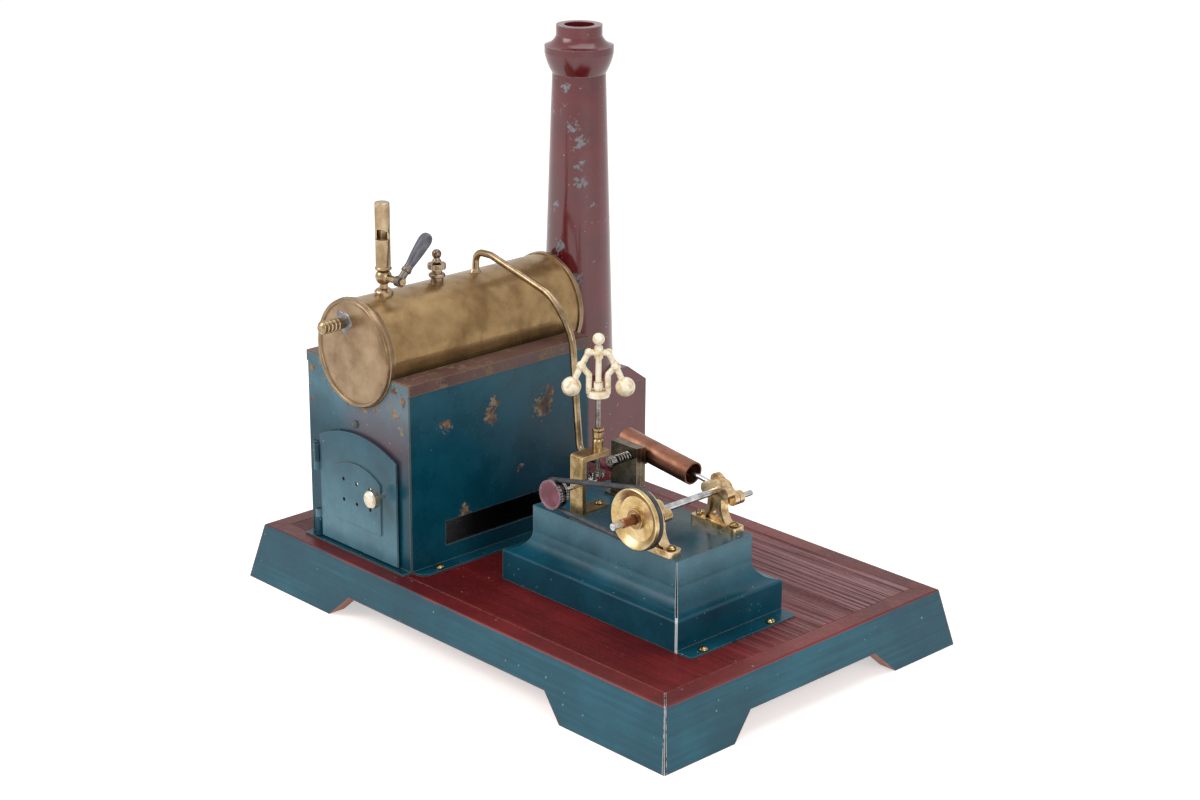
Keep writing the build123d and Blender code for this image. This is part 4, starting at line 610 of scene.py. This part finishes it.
def roundHead(look):
    bpy.ops.object.select_all(action="DESELECT")
    bpy.ops.mesh.primitive_uv_sphere_add(segments=28, ring_count=14, radius=look["radius"] * mm)
    head = bpy.context.object
    bpy.ops.object.mode_set(mode="EDIT")
    bpy.ops.mesh.bisect(plane_co=(0, 0, 0), plane_no=(0, 0, 1), clear_inner=True, use_fill=True)
    bpy.ops.mesh.select_all(action="SELECT")
    bpy.ops.transform.resize(value=(1, 1, look["height"] / look["radius"]))
    if "slotWidth" in look:
        half = look["slotWidth"] * mm / 2
        for x in (-half, half):
            bpy.ops.mesh.select_all(action="SELECT")
            bpy.ops.mesh.bisect(plane_co=(x, 0, 0), plane_no=(1, 0, 0))
        pickFaces(head, lambda centre, normal: abs(centre.x) < half and normal.z > 0.1)
        bpy.ops.mesh.extrude_region_move(TRANSFORM_OT_translate={"value": (0, 0, -look["slotDepth"] * mm)})
    else:
        foot = (0, 0, -look["flange"] * mm)
        pickFaces(head, lambda centre, normal: normal.z < -0.9)
        bpy.ops.mesh.extrude_region_move(TRANSFORM_OT_translate={"value": foot})
        bpy.ops.transform.resize(value=(look["spread"], look["spread"], 1), center_override=foot)
    bpy.ops.object.mode_set(mode="OBJECT")
    return head


def setHeads(name, pattern, places, body, material, size=1.0):
    # places hold a point, the way out of the surface and the slot's turn
    copies = []
    for point, out, turn in places:
        copy = bpy.data.objects.new(name, pattern.data.copy())
        bpy.context.collection.objects.link(copy)
        spin = Matrix.Rotation(math.radians(turn), 4, "Z") @ Matrix.Scale(size, 4)
        copy.data.transform(Matrix.Translation(Vector(point) * mm) @ lean(out) @ spin)
        copies.append(copy)
    finishPiece(joinPieces(copies), name, body, material)


sheet = 0.8  # the tin's thickness
screwMetal = agedMetal(screwBrass)
screwPattern = roundHead(screwHead)
bedLow, bedHigh = corner("engine_bed", False), corner("engine_bed", True)
flangeTop = bedLow.z + sheet
bedScrews = {"edge": 2.4, "rows": ((9.3, 25), (50.0, 70)), "size": 0.95}
bedPlaces = [((bedHigh.x - bedScrews["edge"], bedLow.y + y, flangeTop), upright, turn)
             for y, turn in bedScrews["rows"]]
setHeads("bedFlangeScrews", screwPattern, bedPlaces, "plant", screwMetal, bedScrews["size"])

sideLow, sideHigh = corner("firebox_right_wall", False), corner("firebox_right_wall", True)
boxScrews = {"edge": 2.9, "inset": 12.0, "turns": (15, 60), "size": 0.95}
boxRows = zip((sideLow.y + boxScrews["inset"], sideHigh.y - boxScrews["inset"]), boxScrews["turns"])
boxPlaces = [((sideHigh.x - boxScrews["edge"], y, flangeTop), upright, turn) for y, turn in boxRows]
setHeads("fireboxFlangeScrews", screwPattern, boxPlaces, "plant", screwMetal, boxScrews["size"])

bearingScrews = {"inset": 3.0, "foot": 2.8, "turns": (40, 95)}
bearingPlaces = []
for nodeName in ("front_bearing", "back_bearing"):
    low, high = corner(nodeName, False), corner(nodeName, True)
    ends = (low.x + bearingScrews["inset"], high.x - bearingScrews["inset"])
    bearingPlaces += [((x, (low.y + high.y) / 2, bedHigh.z + bearingScrews["foot"]), upright, turn)
                      for x, turn in zip(ends, bearingScrews["turns"])]
setHeads("bearingFootScrews", screwPattern, bearingPlaces, "plant", screwMetal)

yokeScrew = {"back": 2.6, "foot": 1.2, "turn": 30, "size": 0.85}
yokePlace = (middle("governor_yoke").x, corner("governor_yoke", True).y - yokeScrew["back"],
             corner("governor_yoke", False).z + yokeScrew["foot"])
setHeads("yokeFootScrew", screwPattern, [(yokePlace, upright, yokeScrew["turn"])], "plant",
         screwMetal, yokeScrew["size"])

doorScrew = {"x": -74.4, "z": 86.5, "turn": 20, "size": 0.8}  # painted over with the wall
doorPlace = (doorScrew["x"], corner("firebox_front_wall", True).y - sheet, doorScrew["z"])
setHeads("doorTopScrew", screwPattern, [(doorPlace, frontward, doorScrew["turn"])], "plant",
         finishByNode["firebox_front_wall"], doorScrew["size"])
bpy.data.objects.remove(screwPattern)

# each joint pin's reach along the arms, rise above the head's foot and stand off the arms' middle plane
governorPins = {"turn": 46.0, "height": 28.0, "knuckle": (7.3, 13.4, 2.0), "shoulder": (4.2, 19.4, 1.7)}
pinPattern = roundHead(pinHead)
headMiddle, headTop = middle("governor_head"), corner("governor_head", True).z
headBase = Vector((headMiddle.x, headMiddle.y, headTop - governorPins["height"]))
turn = math.radians(governorPins["turn"])
armLine = Vector((math.cos(turn), math.sin(turn), 0))
outLine = Vector((math.sin(turn), -math.cos(turn), 0))
pinPlaces = []
for arm in (-1, 1):
    for face in (-1, 1):
        for reach, rise, proud in (governorPins["knuckle"], governorPins["shoulder"]):
            joint = headBase + armLine * arm * reach + Vector((0, 0, rise))
            pinPlaces.append((joint + outLine * face * proud, outLine * face, 0))
setHeads("governorJointPins", pinPattern, pinPlaces, "governor", finishByNode["governor_head"])
bpy.data.objects.remove(pinPattern)
print("screws and pins set")


# Turned work: a disc whose rim is drawn out ring by ring along (radius, height) steps
def lathe(profile, place, axis, sides=56):
    radius, height = profile[0]
    bpy.ops.object.select_all(action="DESELECT")
    bpy.ops.mesh.primitive_circle_add(vertices=sides, radius=radius * mm, fill_type="NGON")
    piece = bpy.context.object
    bpy.ops.object.mode_set(mode="EDIT")
    bpy.ops.mesh.select_mode(type="EDGE")
    bpy.ops.mesh.select_all(action="SELECT")
    bpy.ops.transform.translate(value=(0, 0, height * mm))
    for nextRadius, nextHeight in profile[1:]:
        bpy.ops.mesh.extrude_edges_move(TRANSFORM_OT_translate={"value": (0, 0, (nextHeight - height) * mm)})
        grow = nextRadius / radius
        bpy.ops.transform.resize(value=(grow, grow, 1), center_override=(0, 0, 0))
        radius, height = nextRadius, nextHeight
    bpy.ops.mesh.edge_face_add()
    bpy.ops.mesh.select_all(action="SELECT")
    bpy.ops.mesh.normals_make_consistent(inside=False)
    bpy.ops.object.mode_set(mode="OBJECT")
    piece.data.transform(Matrix.Translation(Vector(place) * mm) @ lean(axis))
    return piece


def ballSteps(radius, height, start, end, count):
    # rings of a ball between two angles from its lowest point
    turns = [math.radians(start + (end - start) * step / count) for step in range(count + 1)]
    return [(radius * math.sin(turn), height - radius * math.cos(turn)) for turn in turns]


def bead(radius, height, size):
    # a half-round ring on a turned edge
    return [(radius + size * math.sin(turn), height - size * math.cos(turn))
            for turn in (math.radians(30 * step) for step in range(1, 6))]


def turnedPart(name, nodeName, profile, place, axis, body):
    piece = lathe(profile, place, axis)
    finishPiece(piece, name, body, finishByNode[nodeName], angle=30)
    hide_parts(nodeName)


# Pressed caps: plain faces inside a rolled rim, the front one deep with a second bead, the back one shallow
capForm = {"face": 21.6, "dish": 0.9, "roll": 1.0, "rollMiddle": 23.4, "radius": 24.2, "bead": 0.55,
           "inner": 23.5, "frontDepth": 5.0, "frontBeads": (2.6,), "backDepth": 2.6, "backBeads": ()}


def pressCap(name, nodeName, depth, beads, high, axis):
    roll = [(capForm["rollMiddle"] - capForm["roll"] * math.cos(turn), capForm["roll"] * (1 - math.sin(turn)))
            for turn in (math.radians(20 * step) for step in range(10))]
    rings = [ring for height in beads for ring in bead(capForm["radius"], height, capForm["bead"])]
    skirt = [(capForm["radius"], depth), (capForm["inner"], depth)]
    profile = [(capForm["face"], capForm["dish"])] + roll + rings + skirt
    boiler = middle("boiler_shell")
    place = (boiler.x, corner(nodeName, high).y, boiler.z)
    turnedPart(name, nodeName, profile, place, axis, "plant")


pressCap("frontCapPressing", "boiler_front_cap", capForm["frontDepth"], capForm["frontBeads"], False,
         backward)
pressCap("backCapPressing", "boiler_back_cap", capForm["backDepth"], capForm["backBeads"], True, frontward)
capFace = corner("boiler_front_cap", False).y + capForm["dish"]

# Screwed stud on the boiler's face, with a coarse rounded thread
studForm = {"core": 2.3, "thread": 0.7, "pitch": 2.0, "turns": 5, "firstTurn": 1.4, "tip": 1.7,
            "tipLength": 0.5, "root": 0.6}
studMiddle, studTip = middle("boiler_stud"), corner("boiler_stud", False).y
studSteps = [(studForm["tip"], 0.0), (studForm["core"], studForm["tipLength"])]
for turn in range(studForm["turns"]):
    studSteps += bead(studForm["core"], studForm["firstTurn"] + turn * studForm["pitch"], studForm["thread"])
studSteps.append((studForm["core"], capFace - studTip + studForm["root"]))
turnedPart("studTurning", "boiler_stud", studSteps, (studMiddle.x, studTip, studMiddle.z), backward, "plant")

# Safety valve: seat, rounded disc, neck, nut, bulb and ball
valveForm = {"seat": [(2.9, -1.2), (2.9, 1.9)],
             "disc": [(3.4, 1.9), (3.8, 2.3), (3.8, 3.2), (3.4, 3.6)],
             "neck": [(2.4, 3.7), (2.4, 5.5)],
             "nut": [(4.0, 5.6), (4.0, 8.2)],
             "bulb": [(1.5, 8.3), (2.1, 8.9), (2.1, 9.5), (1.5, 10.2)],
             "ball": ballSteps(2.2, 12.4, 40, 172, 10)}
crown = corner("boiler_shell", True).z
valveMiddle = middle("safety_valve")
valveSteps = [step for part in valveForm.values() for step in part]
turnedPart("valveTurning", "safety_valve", valveSteps, (valveMiddle.x, valveMiddle.y, crown), upright,
           "plant")

# Whistle: foot, ball, collar and closed tube, with one arched mouth cut to the bore, and the cock's arm
whistleForm = {"root": 1.0, "foot": 4.2,
               "footSteps": [(4.2, 1.3), (3.9, 1.8), (3.0, 2.5), (2.0, 2.9), (1.8, 4.2)],
               "ball": 3.7, "ballHeight": 7.8, "ballRings": (29, 150, 14),
               "collar": [(3.6, 11.1), (3.75, 11.4), (3.75, 11.9)],
               "radius": 3.35, "tubeFoot": 12.4, "top": 41.2, "topEdge": 0.3,
               "mouthLow": 24.8, "mouthSide": 1.6, "mouthRise": 3.4, "mouthDepth": 2.4, "mouthTurn": -56.0,
               "ringBelow": 1.0, "ringAbove": 7.0, "bore": 2.6, "boreLength": 12.0, "boreRise": 0.05,
               "arm": 1.6, "armTip": 1.2, "armEdge": 0.4, "armLength": 14.0}


def whistleBody(form, foot):
    radius, mouthLow = form["radius"], form["mouthLow"]
    steps = [(form["foot"], -form["root"])] + form["footSteps"]
    steps += ballSteps(form["ball"], form["ballHeight"], *form["ballRings"]) + form["collar"]
    heights = (form["tubeFoot"], mouthLow - form["ringBelow"], mouthLow + form["ringAbove"],
               form["top"] - form["topEdge"])
    steps += [(radius, height) for height in heights] + [(radius - form["topEdge"], form["top"])]
    return lathe(steps, foot, upright)


def mouthCutter(form, foot):
    # an arch: half a round, drawn tall, on a straight-sided sill
    radius = form["radius"]
    bpy.ops.mesh.primitive_cylinder_add(vertices=40, radius=radius * mm, depth=2 * radius * mm)
    mouth = bpy.context.object
    bpy.ops.object.mode_set(mode="EDIT")
    bpy.ops.mesh.select_all(action="SELECT")
    bpy.ops.mesh.bisect(plane_co=(0, 0, 0), plane_no=(0, 1, 0), clear_inner=True, use_fill=True)
    bpy.ops.mesh.select_all(action="SELECT")
    bpy.ops.transform.resize(value=(1, form["mouthRise"] / radius, 1), center_override=(0, 0, 0))
    pickFaces(mouth, lambda centre, normal: normal.y < -0.9)
    bpy.ops.mesh.extrude_region_move(TRANSFORM_OT_translate={"value": (0, -form["mouthSide"] * mm, 0)})
    bpy.ops.object.mode_set(mode="OBJECT")
    facing = math.radians(form["mouthTurn"])
    out, up = Vector((math.cos(facing), math.sin(facing), 0)), Vector(upright)
    stand = Matrix((up.cross(out), up, out)).transposed().to_4x4()
    place = foot + out * (2 * radius - form["mouthDepth"]) + up * (form["mouthLow"] + form["mouthSide"])
    mouth.data.transform(Matrix.Translation(place * mm) @ stand)
    return mouth


def boreCutter(form, foot):
    steps = [(form["bore"], 0.0), (form["bore"], form["boreLength"])]
    return lathe(steps, foot + Vector((0, 0, form["mouthLow"] + form["boreRise"])), upright)


def cockArm(form, foot):
    steps = [(form["arm"], 0.0), (form["arm"], form["armLength"] - form["armEdge"]),
             (form["armTip"], form["armLength"])]
    return lathe(steps, foot + Vector((0, 0, form["ballHeight"])), sideward, sides=28)


whistleFoot = Vector((corner("whistle", False).x + whistleForm["foot"], middle("whistle").y, crown))
whistle = whistleBody(whistleForm, whistleFoot)
cutters = (mouthCutter(whistleForm, whistleFoot), boreCutter(whistleForm, whistleFoot))
bpy.context.view_layer.objects.active = whistle
for cutter in cutters:
    cut = whistle.modifiers.new("cut", "BOOLEAN")
    cut.operation, cut.object = "DIFFERENCE", cutter
    bpy.ops.object.modifier_apply(modifier="cut")
    bpy.data.objects.remove(cutter)
joinPieces([whistle, cockArm(whistleForm, whistleFoot)])
finishPiece(whistle, "whistleTurning", "plant", finishByNode["whistle"], angle=20)
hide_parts("whistle")

# Large belt wheel: coned inside its front rim round a flat web and a dirty hub, with a low back flange
wheelForm = {"hub": [(2.5, 1.5), (2.6, 0.7), (4.4, 0.7), (4.6, 2.0)],
             "web": [(9.5, 2.0), (9.7, 1.8)],
             "rim": [(12.5, 0.1), (12.8, 0.0), (13.1, 0.2), (13.1, 2.1)],
             "groove": [(11.2, 2.8), (11.2, 4.2)],
             "flange": [(12.3, 4.9), (12.3, 5.7), (9.4, 4.6)],
             "back": [(4.4, 4.6), (4.1, 5.9), (1.6, 6.0)]}
wheelMiddle = middle("drive_pulley")
wheelSteps = [step for part in wheelForm.values() for step in part]
turnedPart("drivePulleyTurning", "drive_pulley", wheelSteps,
           (wheelMiddle.x, corner("drive_pulley", False).y, wheelMiddle.z), backward, "crank")

# Copper sleeve on the shaft, and the small belt wheel's closed front
sleeveForm = {"setBack": 2.0, "steps": [(1.6, 0.0), (1.95, 0.3), (1.95, 7.3), (1.6, 7.4)]}
sleeveMiddle, sleeveFront = middle("shaft_sleeve"), corner("shaft_sleeve", False).y + sleeveForm["setBack"]
turnedPart("sleeveTurning", "shaft_sleeve", sleeveForm["steps"],
           (sleeveMiddle.x, sleeveFront, sleeveMiddle.z), backward, "crank")
discForm = {"proud": 0.7, "steps": [(5.7, 0.4), (5.8, 0.05), (6.0, 0.0), (6.4, 0.0), (6.5, 0.2), (6.5, 0.5),
                                    (4.6, 0.6)]}
smallMiddle = middle("governor_pulley")
smallFront = corner("governor_pulley_shaft", False).y - discForm["proud"]
turnedPart("governorPulleyDisc", "governor_pulley", discForm["steps"],
           (smallMiddle.x, smallFront, smallMiddle.z), backward, "governor_drive")
print("turned work replaced")


# Fluted grips: a cylinder whose every second line of points is drawn in
faceInset = 0.12  # width of the plain ring round each end face, as a share of the radius


def knurledBand(name, centre, axis, look, body, material):
    radius = look["radius"]
    bpy.ops.object.select_all(action="DESELECT")
    bpy.ops.mesh.primitive_cylinder_add(vertices=2 * look["flutes"], radius=radius * mm,
                                        depth=look["width"] * mm)
    band = bpy.context.object
    bpy.ops.object.mode_set(mode="EDIT")
    step = math.pi / look["flutes"]
    pickPoints(band, lambda point: round(math.atan2(point.y, point.x) / step) % 2 == 0)
    shrink = 1 - look["depth"] / radius
    bpy.ops.transform.resize(value=(shrink, shrink, 1), center_override=(0, 0, 0))
    pickFaces(band, lambda centre, normal: abs(normal.z) > 0.9)
    bpy.ops.mesh.inset(thickness=radius * faceInset * mm, use_individual=True)
    bpy.ops.object.mode_set(mode="OBJECT")
    band.data.transform(Matrix.Translation(Vector(centre) * mm) @ lean(axis))
    finishPiece(band, name, body, material, angle=20)


knobGrip = {"radius": 4.14, "width": 2.4, "depth": 0.28, "flutes": 30, "face": 2.0}
knobMiddle = middle("door_knob")
knobPlace = (knobMiddle.x, corner("door_knob", False).y + knobGrip["face"], knobMiddle.z)
knurledBand("knobKnurl", knobPlace, backward, knobGrip, "door", finishByNode["door_knob"])
valveGrip = {"radius": 4.25, "width": 2.1, "depth": 0.3, "flutes": 22, "rise": 6.9}
valvePlace = (valveMiddle.x, valveMiddle.y, crown + valveGrip["rise"])
knurledBand("valveKnurl", valvePlace, upright, valveGrip, "plant", finishByNode["safety_valve"])

# the small wheel's steel barrel, under the belt, and its knurled rims
barrelSteel = {**darkSteel, "name": "knurledWheelBarrel", "colour": "#6a6466", "bright": "#a09a9b"}
smallGrip = {"rim": 6.45, "barrel": 4.75, "back": 6.2, "behindDisc": 0.55, "beltRoom": 0.15,
             "depth": 0.25, "flutes": 34}
barrelMetal = agedMetal(barrelSteel)
beltFront = corner("drive_belt", False).y - smallGrip["beltRoom"]
beltBack = corner("drive_belt", True).y + smallGrip["beltRoom"]
for name, radius, start, end in (
        ("pulleyRimKnurl", smallGrip["rim"], smallFront + smallGrip["behindDisc"], beltFront),
        ("pulleyBarrel", smallGrip["barrel"], beltFront, beltBack),
        ("pulleyBackKnurl", smallGrip["back"], beltBack, corner("governor_pulley", True).y)):
    grip = {**smallGrip, "radius": radius, "width": end - start}
    knurledBand(name, (smallMiddle.x, (start + end) / 2, smallMiddle.z), backward, grip, "governor_drive",
                barrelMetal)
print("knurls cut")


# Plumber's solder, run cold and lumpy in a pool round the stud, and a collar round the pipe's root, as brown
# as the pipe
solderGrey = {"name": "dullPlumbersSolder", "colour": "#7d7d80", "bright": "#97989b", "tarnish": "#625f5e",
              "patch": 3, "marks": (2, 2, 2), "markTone": 0.4, "rough": 0.52, "relief": 0.5}
studPool = {"radius": 4.8, "thickness": 0.6, "rise": 0.5, "side": 0.3,
            "waves": ((3, 0.13, 0.6), (5, 0.08, 2.1), (9, 0.03, 0.9))}
pipeCollar = {"radius": 3.3, "height": 2.4, "sink": 0.7, "throat": 1.75, "waistDrop": 0.15, "rootInset": 1.6,
              "waves": ((3, 0.08, 0.2), (4, 0.05, 1.7))}


def ripple(piece, waves):
    # the edge moves in and out as the metal ran: lobes, size and phase of each wave
    for vertex in piece.data.vertices:
        angle = math.atan2(vertex.co.y, vertex.co.x)
        swell = 1 + sum(size * math.sin(lobes * angle + phase) for lobes, size, phase in waves)
        vertex.co.x, vertex.co.y = vertex.co.x * swell, vertex.co.y * swell


bpy.ops.object.select_all(action="DESELECT")
bpy.ops.mesh.primitive_uv_sphere_add(segments=72, ring_count=12, radius=studPool["radius"] * mm)
pool = bpy.context.object
bpy.ops.object.mode_set(mode="EDIT")
bpy.ops.transform.resize(value=(1, 1, studPool["thickness"] / studPool["radius"]))
bpy.ops.object.mode_set(mode="OBJECT")
ripple(pool, studPool["waves"])
poolPlace = Vector((studMiddle.x + studPool["side"], capFace, studMiddle.z + studPool["rise"]))
pool.data.transform(Matrix.Translation(poolPlace * mm) @ Matrix.Rotation(math.pi / 2, 4, "X"))
finishPiece(pool, "studSolder", "plant", agedMetal(solderGrey), angle=60)

collarHeight, throat = pipeCollar["height"] * mm, pipeCollar["throat"] / pipeCollar["radius"]
waistHeight, waist = -pipeCollar["waistDrop"] * collarHeight, (1 + throat) / 2
bpy.ops.mesh.primitive_cylinder_add(vertices=32, radius=pipeCollar["radius"] * mm, depth=collarHeight)
collar = bpy.context.object
bpy.ops.object.mode_set(mode="EDIT")
bpy.ops.mesh.bisect(plane_co=(0, 0, waistHeight), plane_no=(0, 0, 1))
pickPoints(collar, lambda point: abs(point.z - waistHeight) < 0.05 * mm)
bpy.ops.transform.resize(value=(waist, waist, 1), center_override=(0, 0, 0))
pickPoints(collar, lambda point: point.z > 0.45 * collarHeight)
bpy.ops.transform.resize(value=(throat, throat, 1), center_override=(0, 0, 0))
bpy.ops.object.mode_set(mode="OBJECT")
ripple(collar, pipeCollar["waves"])
pipeRoot = Vector((middle("boiler_shell").x, corner("steam_pipe", False).y + pipeCollar["rootInset"],
                   crown + pipeCollar["height"] / 2 - pipeCollar["sink"]))
collar.data.transform(Matrix.Translation(pipeRoot * mm))
finishPiece(collar, "pipeRootSolder", "plant", finishByNode["steam_pipe"], angle=60)
print("solder run")


# Pale floor that stays white to the camera and in reflections, and keeps the shadow
studio = {"floorSize": 8.0, "floorColour": "#f4f4f2", "floorRough": 0.9, "floorGlow": 0.52, "sky": 0.44,
          "mirroredSky": 0.5, "aim": (0, 0, 0.08),
          "lamps": [("keySoftbox", (-0.55, -1.0, 0.95), 0.8, 9.0),
                    ("rightSoftbox", (1.1, -0.25, 0.55), 0.7, 4.0),
                    ("topSoftbox", (0.0, 0.25, 1.4), 1.0, 6.0)]}
bpy.ops.object.select_all(action="DESELECT")
bpy.ops.mesh.primitive_plane_add(size=studio["floorSize"])
floor = bpy.context.object
floor.name = "studioFloor"
floorMaterial, tree, shader, coords = startMaterial("palePaperFloor")
shader.inputs["Base Color"].default_value = linearColour(studio["floorColour"])
shader.inputs["Roughness"].default_value = studio["floorRough"]
shader.inputs["Specular IOR Level"].default_value = 0.0
shader.inputs["Emission Color"].default_value = (1, 1, 1, 1)
rays = addNode(tree, "LightPath", out=None)
seen = addNode(tree, "Math", {"operation": "MAXIMUM"}, {0: rays["Is Camera Ray"], 1: rays["Is Glossy Ray"]})
seen = addNode(tree, "Math", {"operation": "MAXIMUM"}, {0: seen, 1: rays["Is Transmission Ray"]})
glow = addNode(tree, "Math", {"operation": "MULTIPLY", 1: studio["floorGlow"]}, {0: seen})
tree.links.new(glow, shader.inputs["Emission Strength"])
floor.data.materials.append(floorMaterial)

# White all round, brighter to the camera and in mirrors than as a light
world = bpy.data.worlds.new("whiteCove")
bpy.context.scene.world = world
world.use_nodes = True
sky = world.node_tree
background = sky.nodes["Background"]
background.inputs["Color"].default_value = (1, 1, 1, 1)
rays = addNode(sky, "LightPath", out=None)
seen = addNode(sky, "Math", {"operation": "MAXIMUM"},
               {0: rays["Is Camera Ray"], 1: rays["Is Transmission Ray"]})
bright = addNode(sky, "MapRange", {"To Min": studio["sky"], "To Max": 1.0}, {"Value": seen})
mirrored = addNode(sky, "MapRange", {"To Max": studio["mirroredSky"]}, {"Value": rays["Is Glossy Ray"]})
strength = addNode(sky, "Math", {"operation": "ADD"}, {0: bright, 1: mirrored})
sky.links.new(strength, background.inputs["Strength"])

for name, place, size, power in studio["lamps"]:
    lamp = bpy.data.lights.new(name, "AREA")
    lamp.size, lamp.energy = size, power
    holder = bpy.data.objects.new(name, lamp)
    bpy.context.collection.objects.link(holder)
    holder.location = place
    holder.rotation_euler = (Vector(studio["aim"]) - Vector(place)).to_track_quat("-Z", "Y").to_euler()
print("studio lit")

# Camera solved from the base's rectangle in the photograph: angles in degrees, the rest in mm
viewpoint = {"azimuth": 45.99, "elevation": 18.87, "roll": 0.47, "distance": 1086.0, "across": 4.03,
             "up": 94.17, "lens": 72.2, "sensor": 36.0}
azimuth, elevation, roll = (math.radians(viewpoint[key]) for key in ("azimuth", "elevation", "roll"))
level = Vector((math.cos(azimuth), math.sin(azimuth), 0))
away = Vector((math.sin(azimuth) * math.cos(elevation), -math.cos(azimuth) * math.cos(elevation),
               math.sin(elevation)))
plumb = away.cross(level)
right = level * math.cos(roll) + plumb * math.sin(roll)
upward = plumb * math.cos(roll) - level * math.sin(roll)
camera = bpy.data.objects.new("photoCamera", bpy.data.cameras.new("photoCamera"))
bpy.context.collection.objects.link(camera)
camera.matrix_world = Matrix((right, upward, away)).transposed().to_4x4()
camera.location = (away * viewpoint["distance"] + right * viewpoint["across"] + upward * viewpoint["up"]) * mm
camera.data.sensor_width, camera.data.lens = viewpoint["sensor"], viewpoint["lens"]
bpy.context.scene.camera = camera
bpy.context.scene.view_settings.view_transform = "Standard"
print("camera set")
